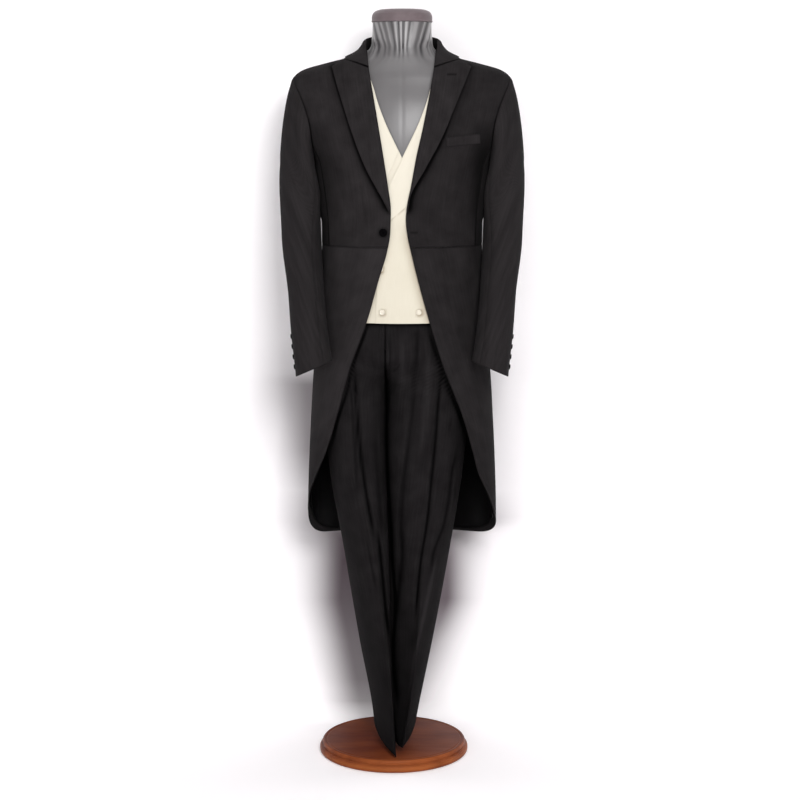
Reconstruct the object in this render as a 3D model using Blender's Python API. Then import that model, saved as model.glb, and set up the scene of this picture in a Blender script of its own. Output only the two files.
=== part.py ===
"""A morning suit on a dress form: coat, double-breasted waistcoat and trousers.

Metres, +Z up. The suit faces -Y and the wearer's left side is +X. The origin
lies on the underside of the round base, in the suit's plane of symmetry.
Every cloth piece is a patch of a smooth surface, given as an outer face and
an inner face one wall apart.
"""
import math

import bmesh
import bpy
import numpy as np

# Driving dimensions
COAT_WALL = 0.0020
FINE_WALL = 0.0015
LINING_WALL = 0.0011
LAPEL_WALL = 0.0018
GAP = 0.0003
SEAM_ANGLE = 0.0015
WAIST_SEAM = 1.148
NECK_SEAM = 1.570
TAIL_HEM = 0.496
TAIL_DROP = 0.016
VENT_TOP = 1.100
VENT_LAP = 0.19
PLEAT_LAP = 0.11
LAP_DEPTH = 0.0029
LINING_DEPTH = 0.0056
LINING_TOP = 0.975
ARMHOLE_BOTTOM = 1.325
ARMHOLE_TOP = 1.513
ARMHOLE_FRONT = math.radians(30)
ARMHOLE_BACK = math.radians(28)
SLEEVE_START = 1.240
CUFF_HIGH = 0.905
CUFF_LOW = 0.870
CAP_SHARE = 0.42
BUTTON_THICKNESS = 0.0026
BUTTON_LIFT = 0.0007
CUFF_BUTTON_LIFT = 0.0010
COAT_BUTTON = 0.0085
CUFF_BUTTON = 0.0060
WAISTCOAT_BUTTON = 0.0062
TROUSER_TOP = 1.104
WAISTBAND_FOOT = 1.066
CROTCH = 0.815
FORK_TOP = 0.915
TROUSER_HEM = 0.040
HEM_RISE = 0.031
LEFT_HEM_LIFT = 0.016
POLE_X = -0.0185
POLE_RADIUS = 0.0080
BASE_RADIUS = 0.1675
BASE_HEIGHT = 0.0270
NECK_TOP = 1.623
CAP_TOP = 1.651
FORM_BOTTOM = 0.925
HALF_TURN = math.pi
QUARTER_TURN = math.pi / 2


def table(columns, rows):
    """Named columns from rows sorted by the first column."""
    values = np.array(sorted(rows), dtype=float).T
    return dict(zip(columns.split(), values))


# Outer face of the coat, section by section
COAT = table("z half_width front back squareness", [
    (0.490, 0.2110, 0.148, 0.160, 2.00),
    (0.600, 0.2090, 0.148, 0.158, 2.00),
    (0.760, 0.2020, 0.147, 0.152, 2.00),
    (0.880, 0.1945, 0.145, 0.147, 2.00),
    (0.970, 0.1865, 0.142, 0.142, 2.00),
    (1.050, 0.1800, 0.137, 0.135, 2.05),
    (1.148, 0.1750, 0.131, 0.127, 2.15),
    (1.236, 0.1770, 0.133, 0.130, 2.25),
    (1.288, 0.1825, 0.136, 0.134, 2.30),
    (1.327, 0.1890, 0.138, 0.138, 2.30),
    (1.380, 0.2130, 0.136, 0.142, 2.30),
    (1.434, 0.2310, 0.128, 0.140, 2.30),
    (1.470, 0.2360, 0.118, 0.133, 2.30),
    (1.500, 0.2355, 0.106, 0.120, 2.25),
    (1.513, 0.2290, 0.099, 0.112, 2.20),
    (1.525, 0.2040, 0.091, 0.103, 2.15),
    (1.538, 0.1550, 0.084, 0.095, 2.10),
    (1.550, 0.1160, 0.079, 0.088, 2.05),
    (1.562, 0.0920, 0.075, 0.083, 2.00),
    (1.576, 0.0830, 0.072, 0.079, 2.00),
    (1.590, 0.0775, 0.070, 0.076, 2.00),
    (1.610, 0.0750, 0.068, 0.074, 2.00),
])

# Front edges of the coat from the tail to the roll line of the lapel
FRONT_EDGE = table("z right left", [
    (0.530, -0.2100, 0.2100),
    (0.565, -0.2095, 0.2020),
    (0.603, -0.2040, 0.1890),
    (0.649, -0.1875, 0.1690),
    (0.702, -0.1660, 0.1550),
    (0.776, -0.1440, 0.1340),
    (0.890, -0.1120, 0.0900),
    (0.995, -0.0740, 0.0572),
    (1.076, -0.0510, 0.0346),
    (1.137, -0.0325, 0.0195),
    (1.171, -0.0259, 0.0118),
    (1.205, -0.0242, 0.0080),
    (1.233, -0.0240, 0.0100),
    (1.279, -0.0300, 0.0190),
    (1.342, -0.0397, 0.0305),
    (1.402, -0.0495, 0.0442),
    (1.464, -0.0600, 0.0565),
    (1.530, -0.0710, 0.0680),
    (1.570, -0.0755, 0.0735),
    (1.590, -0.0770, 0.0760),
])

# Places round the armhole that the pieces sewn to it share: 0 is the
# shoulder point, a quarter turn the front and half a turn the underarm
ARMHOLE_FRONT_STOPS = [0.0, 0.36, 0.66, 1.02, 1.42, 1.82, 2.22]
ARMHOLE_UNDER_STOPS = [2.22, 2.52, 2.83, 3.14, 3.46, 3.80, 4.14, 4.46, 4.776]
ARMHOLE_BACK_STOPS = [4.776, 5.12, 5.48, 5.84, 6.2832]
FRONT_SEAM_WAIST = 1.100
BACK_SEAM_WAIST = 2.845
BACK_SEAM_BOW = 0.055

# How far round the collar its fold and its outer edge reach the shoulder
FOLD_SHARE = 0.62
EDGE_SHARE = 0.72

# Side edge of each tail, as an angle round the body
TAIL_SEAM = table("z angle", [
    (0.490, 2.760),
    (0.800, 2.790),
    (1.148, 2.845),
])

# Outer edge of the lapels
LAPEL_EDGE = table("z right left", [
    (1.222, -0.0270, 0.0120),
    (1.256, -0.0440, 0.0170),
    (1.314, -0.0750, 0.0480),
    (1.379, -0.1010, 0.0830),
    (1.454, -0.1260, 0.1150),
    (1.530, -0.1500, 0.1480),
])

# Section of the sleeve below the armhole
SLEEVE = table("z outer inner centre_y half_depth bulge", [
    (0.850, 0.2250, 0.1400, -0.135, 0.052, 0.0),
    (0.880, 0.2280, 0.1450, -0.130, 0.053, 0.0),
    (0.970, 0.2390, 0.1600, -0.103, 0.057, 0.0),
    (1.050, 0.2470, 0.1680, -0.075, 0.061, 0.0),
    (1.150, 0.2610, 0.1745, -0.037, 0.066, 0.0),
    (1.200, 0.2640, 0.1768, -0.023, 0.069, 0.0040),
    (1.240, 0.2670, 0.1785, -0.012, 0.071, 0.0100),
])

# Distance of the waistcoat's outer face below the coat's
UNDER_COAT = table("z depth", [
    (0.980, 0.0055),
    (1.480, 0.0055),
    (1.500, 0.0054),
    (1.535, 0.0037),
    (1.560, 0.0034),
])

# Front edge of the waistcoat's overlapping left side, up to the neck
WAISTCOAT_EDGE = table("z over under", [
    (0.986, -0.0590, -0.0560),
    (1.100, -0.0530, -0.0500),
    (1.200, -0.0450, -0.0420),
    (1.262, -0.0340, -0.0340),
    (1.337, 0.0000, 0.0000),
    (1.420, 0.0390, 0.0390),
    (1.462, 0.0540, 0.0540),
    (1.485, 0.0605, 0.0605),
    (1.510, 0.0690, 0.0690),
    (1.540, 0.0740, 0.0740),
    (1.570, 0.0770, 0.0770),
])
WAISTCOAT_ARM = table("z x", [
    (1.285, 0.1820),
    (1.300, 0.1740),
    (1.330, 0.1600),
    (1.390, 0.1440),
    (1.450, 0.1360),
    (1.530, 0.1400),
    (1.600, 0.1500),
])
WAISTCOAT_HEM = 0.987
WAISTCOAT_SIDE_HEM = 1.015
WAISTCOAT_ARM_ROWS = [1.240, 1.270, 1.285, 1.305, 1.335, 1.380, 1.430, 1.480, 1.510, 1.528,
                      1.537, 1.5425, 1.548, 1.557]

# Trousers round the hips
TROUSER_RING = table("z half_width front back", [
    (0.800, 0.1700, 0.126, 0.128),
    (0.900, 0.1700, 0.126, 0.128),
    (0.980, 0.1670, 0.124, 0.124),
    (1.050, 0.1640, 0.121, 0.119),
    (1.110, 0.1620, 0.119, 0.114),
])
FLY_X = -0.0355

# Each trouser leg, from its front crease to its back crease
RIGHT_LEG = table("z x_front x_back lateral medial y_front y_back crease tuck", [
    (0.030, -0.0135, -0.0590, 0.0175, 0.0100, -0.150, 0.088, 1.6, 1.6),
    (0.075, -0.0165, -0.0600, 0.0205, 0.0110, -0.149, 0.088, 1.6, 1.6),
    (0.260, -0.0300, -0.0700, 0.0430, 0.0190, -0.140, 0.085, 1.4, 1.2),
    (0.483, -0.0700, -0.0880, 0.0520, 0.0580, -0.130, 0.078, 1.2, 0.8),
    (0.670, -0.1000, -0.1000, 0.0625, 0.0700, -0.119, 0.092, 1.0, 0.6),
    (0.830, -0.1000, -0.1000, 0.0600, 0.0700, -0.115, 0.110, 1.0, 0.6),
    (1.110, -0.1000, -0.1000, 0.0600, 0.0700, -0.115, 0.110, 1.0, 0.6),
])
LEFT_LEG = table("z x_front x_back lateral medial y_front y_back crease tuck", [
    (0.030, -0.0020, 0.0250, 0.0120, 0.0520, -0.134, 0.088, 1.6, 3.2),
    (0.075, 0.0060, 0.0270, 0.0150, 0.0560, -0.134, 0.088, 1.6, 3.2),
    (0.260, 0.0300, 0.0350, 0.0350, 0.0730, -0.135, 0.085, 1.4, 3.0),
    (0.483, 0.0450, 0.0420, 0.0640, 0.0785, -0.128, 0.078, 1.2, 1.1),
    (0.670, 0.0500, 0.0500, 0.0870, 0.0890, -0.119, 0.092, 1.0, 0.6),
    (0.830, 0.0550, 0.0550, 0.0950, 0.0950, -0.115, 0.110, 1.0, 0.6),
    (1.110, 0.0550, 0.0550, 0.0950, 0.0950, -0.115, 0.110, 1.0, 0.6),
])

# Where the two legs meet in front
LEG_DIVIDE = table("z x", [
    (0.030, -0.0040),
    (0.130, -0.0103),
    (0.260, -0.0187),
    (0.483, -0.0265),
    (0.670, -0.0315),
    (0.820, -0.0350),
    (0.900, -0.0355),
    (0.960, -0.0355),
    (1.110, -0.0355),
])
LEG_GAP = 0.0022
SEAT_GAP = 0.0004

# Hanging folds of the trousers: place at the top and at the bottom
FOLD_COLUMNS = "x_top z_top x_bottom z_bottom depth width"
FRONT_FOLDS = [
    (-0.1080, 0.900, -0.0600, 0.420, 0.0055, 0.0180),
    (0.0360, 1.000, -0.0020, 0.480, 0.0055, 0.0180),
    (0.0900, 0.900, 0.0560, 0.420, 0.0055, 0.0180),
]
BACK_FOLDS = [
    (-0.1000, 0.880, -0.0640, 0.300, 0.0060, 0.0200),
    (0.0700, 0.900, 0.0400, 0.300, 0.0060, 0.0200),
]
FOLD_FADE = 0.10

# The dress form
FORM = table("z half_width front back", [
    (0.885, 0.1450, 0.098, 0.100),
    (0.950, 0.1520, 0.106, 0.110),
    (1.030, 0.1565, 0.1125, 0.1105),
    (1.085, 0.1592, 0.1165, 0.1125),
    (1.148, 0.1545, 0.112, 0.107),
    (1.236, 0.1590, 0.118, 0.114),
    (1.327, 0.1710, 0.123, 0.122),
    (1.400, 0.1810, 0.120, 0.126),
    (1.460, 0.1880, 0.107, 0.119),
    (1.495, 0.1870, 0.094, 0.106),
    (1.513, 0.1865, 0.0885, 0.1005),
    (1.5255, 0.1660, 0.0825, 0.0935),
    (1.5375, 0.1330, 0.0762, 0.0866),
    (1.5490, 0.0990, 0.0705, 0.0795),
    (1.566, 0.0720, 0.066, 0.071),
    (1.590, 0.0650, 0.064, 0.066),
    (1.612, 0.0635, 0.0635, 0.0635),
    (1.632, 0.0635, 0.0635, 0.0635),
])

# Colour, roughness and metallic value of each finish
MATERIALS = {
    "coat_cloth": ((0.024, 0.023, 0.024), 0.85, 0.0),
    "trouser_cloth": ((0.017, 0.016, 0.017), 0.85, 0.0),
    "waistcoat_cloth": ((0.89, 0.83, 0.72), 0.80, 0.0),
    "black_lining": ((0.006, 0.006, 0.007), 0.45, 0.0),
    "horn_button": ((0.010, 0.009, 0.009), 0.35, 0.0),
    "shell_button": ((0.60, 0.53, 0.42), 0.30, 0.0),
    "form_satin": ((0.55, 0.54, 0.56), 0.40, 0.0),
    "form_cap": ((0.20, 0.15, 0.15), 0.60, 0.0),
    "varnished_wood": ((0.42, 0.13, 0.05), 0.25, 0.0),
    "steel_pole": ((0.55, 0.55, 0.56), 0.30, 1.0),
}


def clear_scene():
    for item in list(bpy.data.objects):
        bpy.data.objects.remove(item, do_unlink=True)


def material(name):
    """The named finish, made the first time it is asked for."""
    if name in bpy.data.materials:
        return bpy.data.materials[name]
    colour, roughness, metallic = MATERIALS[name]
    made = bpy.data.materials.new(name)
    made.use_nodes = True
    shader = made.node_tree.nodes["Principled BSDF"]
    shader.inputs["Base Color"].default_value = (*colour, 1.0)
    shader.inputs["Roughness"].default_value = roughness
    shader.inputs["Metallic"].default_value = metallic
    return made


def curve(rows, column, where):
    """Smooth curve through a table's column, a cubic between each two rows."""
    key = next(iter(rows))
    knots, values = rows[key], rows[column]
    slopes = np.gradient(values, knots)
    where = np.clip(where, knots[0], knots[-1])
    low = np.clip(np.searchsorted(knots, where) - 1, 0, len(knots) - 2)
    span = knots[low + 1] - knots[low]
    t = (where - knots[low]) / span
    start = values[low] * (1 + 2 * t) * (1 - t) ** 2 + slopes[low] * span * t * (1 - t) ** 2
    end = values[low + 1] * t ** 2 * (3 - 2 * t) + slopes[low + 1] * span * t ** 2 * (t - 1)
    return start + end


def ease(value, start, end):
    """Smooth step from 0 at start to 1 at end."""
    t = np.clip((value - start) / (end - start), 0.0, 1.0)
    return t * t * (3 - 2 * t)


def signed_power(value, power):
    return np.sign(value) * np.abs(value) ** power


def ring(rows, angle, z):
    """Section of a body at height z: 0 is the front, a quarter turn is +X."""
    power = 2 / curve(rows, "squareness", z) if "squareness" in rows else 1.0
    across = signed_power(np.sin(angle), power)
    along = signed_power(np.cos(angle), power)
    depth = np.where(along > 0, curve(rows, "front", z), curve(rows, "back", z))
    return np.stack([curve(rows, "half_width", z) * across, -depth * along, z + 0 * angle], axis=-1)


def coat_surface(angle, z):
    return ring(COAT, angle, z)


def front_angle(x, z):
    """Angle at which the front half of the coat's section has this x."""
    share = np.clip(np.abs(x) / curve(COAT, "half_width", z), 0.0, 1.0)
    return np.sign(x) * np.arcsin(share ** (curve(COAT, "squareness", z) / 2))


def outward(surface, a, b, step=0.0005):
    """Unit normals of a surface, from small steps in both parameters."""
    along_a = surface(a + step, b) - surface(a - step, b)
    along_b = surface(a, b + step) - surface(a, b - step)
    normal = np.cross(along_a, along_b)
    return normal / np.linalg.norm(normal, axis=-1, keepdims=True)


def sunk(surface, a, b, depth):
    """Points of a surface moved in by depth, or out where it is negative."""
    depth = np.broadcast_to(depth, np.shape(a + b))
    return surface(a, b) - outward(surface, a, b) * depth[..., None]


def link(name, mesh, finish):
    mesh.materials.append(material(finish))
    made = bpy.data.objects.new(name, mesh)
    bpy.context.scene.collection.objects.link(made)
    mesh.shade_smooth()
    mesh.set_sharp_from_angle(angle=math.radians(50))
    return made


def solid(name, outer, inner, finish):
    """A cloth wall between two grids of points, closed round its four edges."""
    rows, columns = outer.shape[:2]
    index = np.arange(rows * columns).reshape(rows, columns)
    under = index + rows * columns
    front = np.stack([index[:-1, :-1], index[:-1, 1:], index[1:, 1:], index[1:, :-1]], -1)
    back = np.stack([under[:-1, :-1], under[1:, :-1], under[1:, 1:], under[:-1, 1:]], -1)
    rim = np.concatenate([index[0, :], index[1:, -1], index[-1, -2::-1], index[-2:0:-1, 0]])
    after = np.roll(rim, -1)
    edge = np.stack([rim, rim + rows * columns, after + rows * columns, after], -1)
    faces = np.concatenate([front.reshape(-1, 4), back.reshape(-1, 4), edge])
    mesh = bpy.data.meshes.new(name)
    points = np.concatenate([outer.reshape(-1, 3), inner.reshape(-1, 3)])
    mesh.from_pydata(points.tolist(), [], faces.tolist())
    return link(name, facing_out(mesh), finish)


def facing_out(mesh):
    """Turn every face outwards, by the sign of the enclosed volume."""
    work = bmesh.new()
    work.from_mesh(mesh)
    bmesh.ops.triangulate(work, faces=work.faces[:], quad_method="SHORT_EDGE")
    if work.calc_volume(signed=True) < 0:
        bmesh.ops.reverse_faces(work, faces=work.faces[:])
    work.to_mesh(mesh)
    work.free()
    return mesh


def tube(name, loops, finish):
    """A solid from closed sections, one after another, with flat ends."""
    count, points = loops.shape[:2]
    index = np.arange(count * points).reshape(count, points)
    nxt = np.roll(index, -1, axis=1)
    sides = np.stack([index[:-1], nxt[:-1], nxt[1:], index[1:]], -1).reshape(-1, 4)
    mesh = bpy.data.meshes.new(name)
    faces = sides.tolist() + [index[0][::-1].tolist(), index[-1].tolist()]
    mesh.from_pydata(loops.reshape(-1, 3).tolist(), [], faces)
    return link(name, facing_out(mesh), finish)


def coons(left, right, bottom, top, columns, rows, crowd=1.0):
    """Points between four edges, each a short list of (x, z) corners."""
    def sample(corners, where):
        corners = np.array(corners, dtype=float)
        lengths = np.linalg.norm(np.diff(corners, axis=0), axis=1)
        reach = np.concatenate([[0], np.cumsum(lengths)]) / lengths.sum()
        return np.stack([np.interp(where, reach, corners[:, axis]) for axis in (0, 1)], -1)

    across = np.linspace(0, 1, columns)
    up = 1 - (1 - np.linspace(0, 1, rows)) ** crowd
    u, v = across[None, :, None], up[:, None, None]
    sides = sample(left, up)[:, None], sample(right, up)[:, None]
    ends = sample(bottom, across)[None], sample(top, across)[None]
    corners = ((1 - u) * (1 - v) * ends[0][:, :1] + u * (1 - v) * ends[0][:, -1:]
               + (1 - u) * v * ends[1][:, :1] + u * v * ends[1][:, -1:])
    points = (1 - u) * sides[0] + u * sides[1] + (1 - v) * ends[0] + v * ends[1] - corners
    return points[..., 0], points[..., 1]


def panel(name, angle, z, finish, wall=COAT_WALL, depth=0.0):
    """A cloth piece that follows the coat's surface, depth below it."""
    outer = sunk(coat_surface, angle, z, depth)
    inner = sunk(coat_surface, angle, z, depth + wall)
    return solid(name, outer, inner, finish)


def armhole_spread(z, half):
    """Half opening angle of the armhole at height z."""
    share = np.clip((z - ARMHOLE_BOTTOM) / (ARMHOLE_TOP - ARMHOLE_BOTTOM), 0.0, 1.0)
    return half * np.sin(HALF_TURN * share) ** 0.6


def armhole_place(turn):
    """Angle and height of the armhole's edge at a place round it."""
    turn = np.asarray(turn, dtype=float)
    middle = 0.5 * (ARMHOLE_TOP + ARMHOLE_BOTTOM)
    z = middle + 0.5 * (ARMHOLE_TOP - ARMHOLE_BOTTOM) * np.cos(turn)
    spread = np.where(np.sin(turn) > 0, -armhole_spread(z, ARMHOLE_FRONT),
                      armhole_spread(z, ARMHOLE_BACK))
    return QUARTER_TURN + spread, z


def front_edge(side):
    column = "left" if side > 0 else "right"
    return lambda z: side * front_angle(curve(FRONT_EDGE, column, z), z)


def seam_front(z):
    """Seam between forepart and sidebody, from the waist to the armhole."""
    angle, top = armhole_place(ARMHOLE_UNDER_STOPS[0])
    share = (z - WAIST_SEAM) / (top - WAIST_SEAM)
    return FRONT_SEAM_WAIST + (angle - FRONT_SEAM_WAIST) * share


def seam_back(z):
    """Bowed seam between sidebody and back, from the waist to the armhole."""
    angle, top = armhole_place(ARMHOLE_UNDER_STOPS[-1])
    share = (z - WAIST_SEAM) / (top - WAIST_SEAM)
    bow = BACK_SEAM_BOW * np.sin(HALF_TURN * np.clip(share, 0, 1))
    return BACK_SEAM_WAIST + (angle - BACK_SEAM_WAIST) * share + bow


def side_name(side):
    return "left" if side > 0 else "right"


def mirrored(angle, side):
    return angle * side


def make_forepart(side):
    """From the waist seam to the neck, with shoulder seam and armhole."""
    arm_angle, arm_z = armhole_place(ARMHOLE_FRONT_STOPS[::-1])
    low = np.linspace(WAIST_SEAM + GAP, arm_z[0], 8)[:-1]
    high = np.array([1.525, 1.538, 1.550, NECK_SEAM - 0.006])
    z = np.concatenate([low, arm_z, high])[:, None]
    limit = np.concatenate([seam_front(low), arm_angle, QUARTER_TURN + 0 * high])[:, None]
    edge = front_edge(side)(z)
    angle = edge + (limit - SEAM_ANGLE - edge) * np.linspace(0, 1, 9)[None, :]
    panel(f"coat_forepart_{side_name(side)}", mirrored(angle, side), z + 0 * angle, "coat_cloth")


def make_sidebody(side):
    """Panel under the arm, its top edge the lower half of the armhole."""
    top_angle, top = armhole_place(ARMHOLE_UNDER_STOPS)
    u = (top_angle - seam_front(top)) / (seam_back(top) - seam_front(top))
    top = top - GAP * np.sin(np.linspace(0, HALF_TURN, len(u)))
    z = WAIST_SEAM + GAP + (top - WAIST_SEAM - GAP)[None, :] * np.linspace(0, 1, 7)[:, None]
    low, high = seam_front(z) + SEAM_ANGLE, seam_back(z) - SEAM_ANGLE
    angle = low + (high - low) * u[None, :]
    panel(f"coat_sidebody_{side_name(side)}", mirrored(angle, side), z, "coat_cloth")


def make_back(side):
    """Back and tail in one, with the vent's underlap on the right side."""
    arm_angle, arm_z = armhole_place(ARMHOLE_BACK_STOPS)
    tail = np.concatenate([np.linspace(TAIL_HEM, VENT_TOP, 9), [VENT_TOP + 0.012]])
    body = np.linspace(WAIST_SEAM, arm_z[0], 7)[:-1]
    high = np.array([1.525, 1.538, 1.550, NECK_SEAM - 0.004])
    z = np.concatenate([tail, body, arm_z, high])[:, None]
    z = z - tail_drop(3.0) * np.clip((VENT_TOP - z) / (VENT_TOP - TAIL_HEM), 0.0, 1.0)
    left = np.concatenate([curve(TAIL_SEAM, "angle", tail), seam_back(body), arm_angle,
                           QUARTER_TURN + 0 * high])[:, None] + SEAM_ANGLE
    centre = HALF_TURN - SEAM_ANGLE
    if side > 0:
        angle = left + (centre - left) * np.linspace(0, 1, 6)[None, :]
        depth = 0 * angle
    else:
        sink = LAP_DEPTH * ease(-z, -WAIST_SEAM, -VENT_TOP - 0.012)
        lap = VENT_LAP * ease(-z, -VENT_TOP - 0.012, -VENT_TOP)
        inside = left + (centre - 0.030 - left) * np.linspace(0, 1, 6)[None, :]
        under = centre - 0.010 + (0.010 + lap) * np.array([[0.0, 0.35, 0.7, 1.0]])
        angle = np.concatenate([inside, under], axis=1)
        depth = np.concatenate([0 * inside, sink + 0 * under], axis=1)
    panel(f"coat_back_{side_name(side)}", mirrored(angle, side), z + 0 * angle, "coat_cloth",
          depth=depth)


def tail_drop(angle):
    """How much lower than at the side the tail's hem hangs behind."""
    return TAIL_DROP * ease(angle, 1.45, 2.60)


def tail_corner(edge_height, radius_angle):
    """Hem height that rises to the front edge in a round corner."""
    def hem(u, angle):
        rise = np.clip(1 - u / radius_angle, 0.0, 1.0)
        return TAIL_HEM - tail_drop(angle) + (edge_height - TAIL_HEM) * rise ** 2
    return hem


def make_skirt(side):
    """Front skirt below the waist seam, its back edge folded under the tail."""
    edge = front_edge(side)

    def pleat(z):
        return curve(TAIL_SEAM, "angle", z) - SEAM_ANGLE

    corner = tail_corner(0.560 if side < 0 else 0.535, 0.55)
    u = np.array([[0.0, 0.04, 0.10, 0.18, 0.30, 0.44, 0.58, 0.72, 0.86, 0.985, 1.0]])
    v = np.linspace(0, 1, 12)[:, None]
    hem = corner(u, edge(TAIL_HEM) + (pleat(TAIL_HEM) - edge(TAIL_HEM)) * u)
    z = hem + (WAIST_SEAM - GAP - hem) * v
    angle = edge(z) + (pleat(z) - edge(z)) * u
    under = angle[:, -1:] + np.array([[0.5, 1.0]]) * PLEAT_LAP
    depth = np.concatenate([0 * angle, LAP_DEPTH + 0 * under], axis=1)
    depth[:, -3] = LAP_DEPTH
    angle = np.concatenate([angle, under], axis=1)
    z = np.concatenate([z, z[:, -1:], z[:, -1:]], axis=1)
    panel(f"coat_skirt_{side_name(side)}", mirrored(angle, side), z, "coat_cloth", depth=depth)


def make_lining(side):
    """Lining of skirt and tail, a little short of the hem and front edge."""
    edge = front_edge(side)
    corner = tail_corner(0.566 if side < 0 else 0.541, 0.50)

    u = np.linspace(0, 1, 11)[None, :]
    start = edge(TAIL_HEM)
    hem = corner(u, start + (HALF_TURN - start) * u) + 0.008
    z = hem + (LINING_TOP - hem) * np.linspace(0, 1, 7)[:, None]
    angle = edge(z) + 0.035 + (HALF_TURN - 0.065 - edge(z)) * u
    panel(f"tail_lining_{side_name(side)}", mirrored(angle, side), z, "black_lining",
          wall=LINING_WALL, depth=LINING_DEPTH)


def lapel_grid(side, columns, rows):
    """Points (x, z) of a peaked lapel between its roll line and outer edge."""
    name = side_name(side)
    roll_z = np.linspace(1.228, 1.524, 12)
    edge_z = np.linspace(1.222, 1.527, 12)
    roll = [(float(curve(FRONT_EDGE, name, z)), z) for z in roll_z]
    edge = [(float(curve(LAPEL_EDGE, name, z)), z) for z in edge_z]
    gorge = [roll[-1], (side * 0.124, 1.5405), edge[-1]]
    return coons(roll, edge, [roll[0], edge[0]], gorge, columns, rows, crowd=1.5)


def make_lapel(side):
    x, z = lapel_grid(side, 8, 14)
    across = np.linspace(0, 1, 8)[None, :]
    belly = 0.0030 * np.sin(HALF_TURN * across) + 0.0012 * ease(z, 1.40, 1.50)
    angle = front_angle(x, z)
    outer = sunk(coat_surface, angle, z, -(GAP + LAPEL_WALL + belly))
    inner = sunk(coat_surface, angle, z, -(GAP + belly))
    solid(f"coat_lapel_{side_name(side)}", outer, inner, "coat_cloth")


def make_collar():
    """Stand and turned-down leaf, from gorge to gorge round the neck."""
    turn = np.linspace(-1, 1, 33)
    side, away = np.where(turn < 0, -1, 1), np.abs(turn)
    fore = ease(away, FOLD_SHARE, 1.0)
    fold_z = np.where(away < FOLD_SHARE, 1.600 - 0.014 * (away / FOLD_SHARE) ** 2,
                      1.586 - 0.058 * np.clip((away - FOLD_SHARE) / (1 - FOLD_SHARE), 0, 1))
    fold_x = np.where(side > 0, curve(FRONT_EDGE, "left", fold_z), -curve(FRONT_EDGE, "right", fold_z))
    fold_angle = np.where(away < FOLD_SHARE, HALF_TURN - QUARTER_TURN * away / FOLD_SHARE,
                          front_angle(fold_x, fold_z))
    edge_x = 0.118 + 0.006 * ease(away, EDGE_SHARE, 1.0)
    edge_z = 1.548 - 0.0055 * ease(away, EDGE_SHARE, 1.0)
    edge_angle = np.where(away < EDGE_SHARE, HALF_TURN - QUARTER_TURN * away / EDGE_SHARE,
                          front_angle(edge_x, edge_z))
    foot = np.where(fold_z > NECK_SEAM, (NECK_SEAM - 0.003 - edge_z) / (fold_z - edge_z), 0.96)
    foot = np.clip(foot, 0, 0.96)
    stand = ease(fold_z, NECK_SEAM + 0.002, NECK_SEAM + 0.010)
    out = GAP + LAPEL_WALL + 0.0018
    near = -GAP - 0.0018
    whole = 1 + 0 * foot
    profile = [(0 * whole, near), (0 * whole, -out), (0.3 * whole, -out - 0.0012),
               (0.6 * whole, -out - 0.0014), (0.88 * whole, -out - 0.0008), (whole, -0.0022),
               (whole, near + (0.0012 - near) * stand), (foot, near + (0.0014 - near) * stand),
               (foot - 0.01, near), (0.66 * foot, near), (0.33 * foot, near)]
    sections = []
    for share, depth in profile:
        angle = edge_angle + (fold_angle - edge_angle) * share
        z = edge_z + (fold_z - edge_z) * share
        level = front_angle(edge_x + (fold_x - edge_x) * share, z)
        angle = np.where(away > EDGE_SHARE, angle + (level - angle) * fore, angle)
        sections.append(sunk(coat_surface, angle * side, z, depth))
    tube("coat_collar", np.stack(sections, axis=1), "coat_cloth")


def make_welt():
    """Breast pocket welt on the wearer's left chest."""
    x, z = coons([(0.092, 1.360), (0.091, 1.380)], [(0.166, 1.367), (0.165, 1.388)],
                 [(0.092, 1.360), (0.166, 1.367)], [(0.091, 1.380), (0.165, 1.388)], 6, 3)
    angle = front_angle(x, z)
    outer = sunk(coat_surface, angle, z, -(GAP + LAPEL_WALL))
    solid("coat_breast_welt", outer, sunk(coat_surface, angle, z, -GAP), "coat_cloth")


def armhole(turn):
    """Points of the armhole's edge: 0 is the shoulder point, a quarter turn the front."""
    return coat_surface(*armhole_place(turn))


def sleeve_ring(turn, z):
    """Level section of the sleeve: 0 is its outer side, a quarter turn the front."""
    outer, inner = curve(SLEEVE, "outer", z), curve(SLEEVE, "inner", z)
    x = 0.5 * (outer + inner) + 0.5 * (outer - inner) * np.cos(turn)
    x = x - curve(SLEEVE, "bulge", z) * np.clip(-np.sin(2 * turn), 0, 1) ** 2 * (np.sin(turn) > 0)
    y = curve(SLEEVE, "centre_y", z) - curve(SLEEVE, "half_depth", z) * np.sin(turn)
    return np.stack([x, y, z + 0 * turn], axis=-1)



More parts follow.
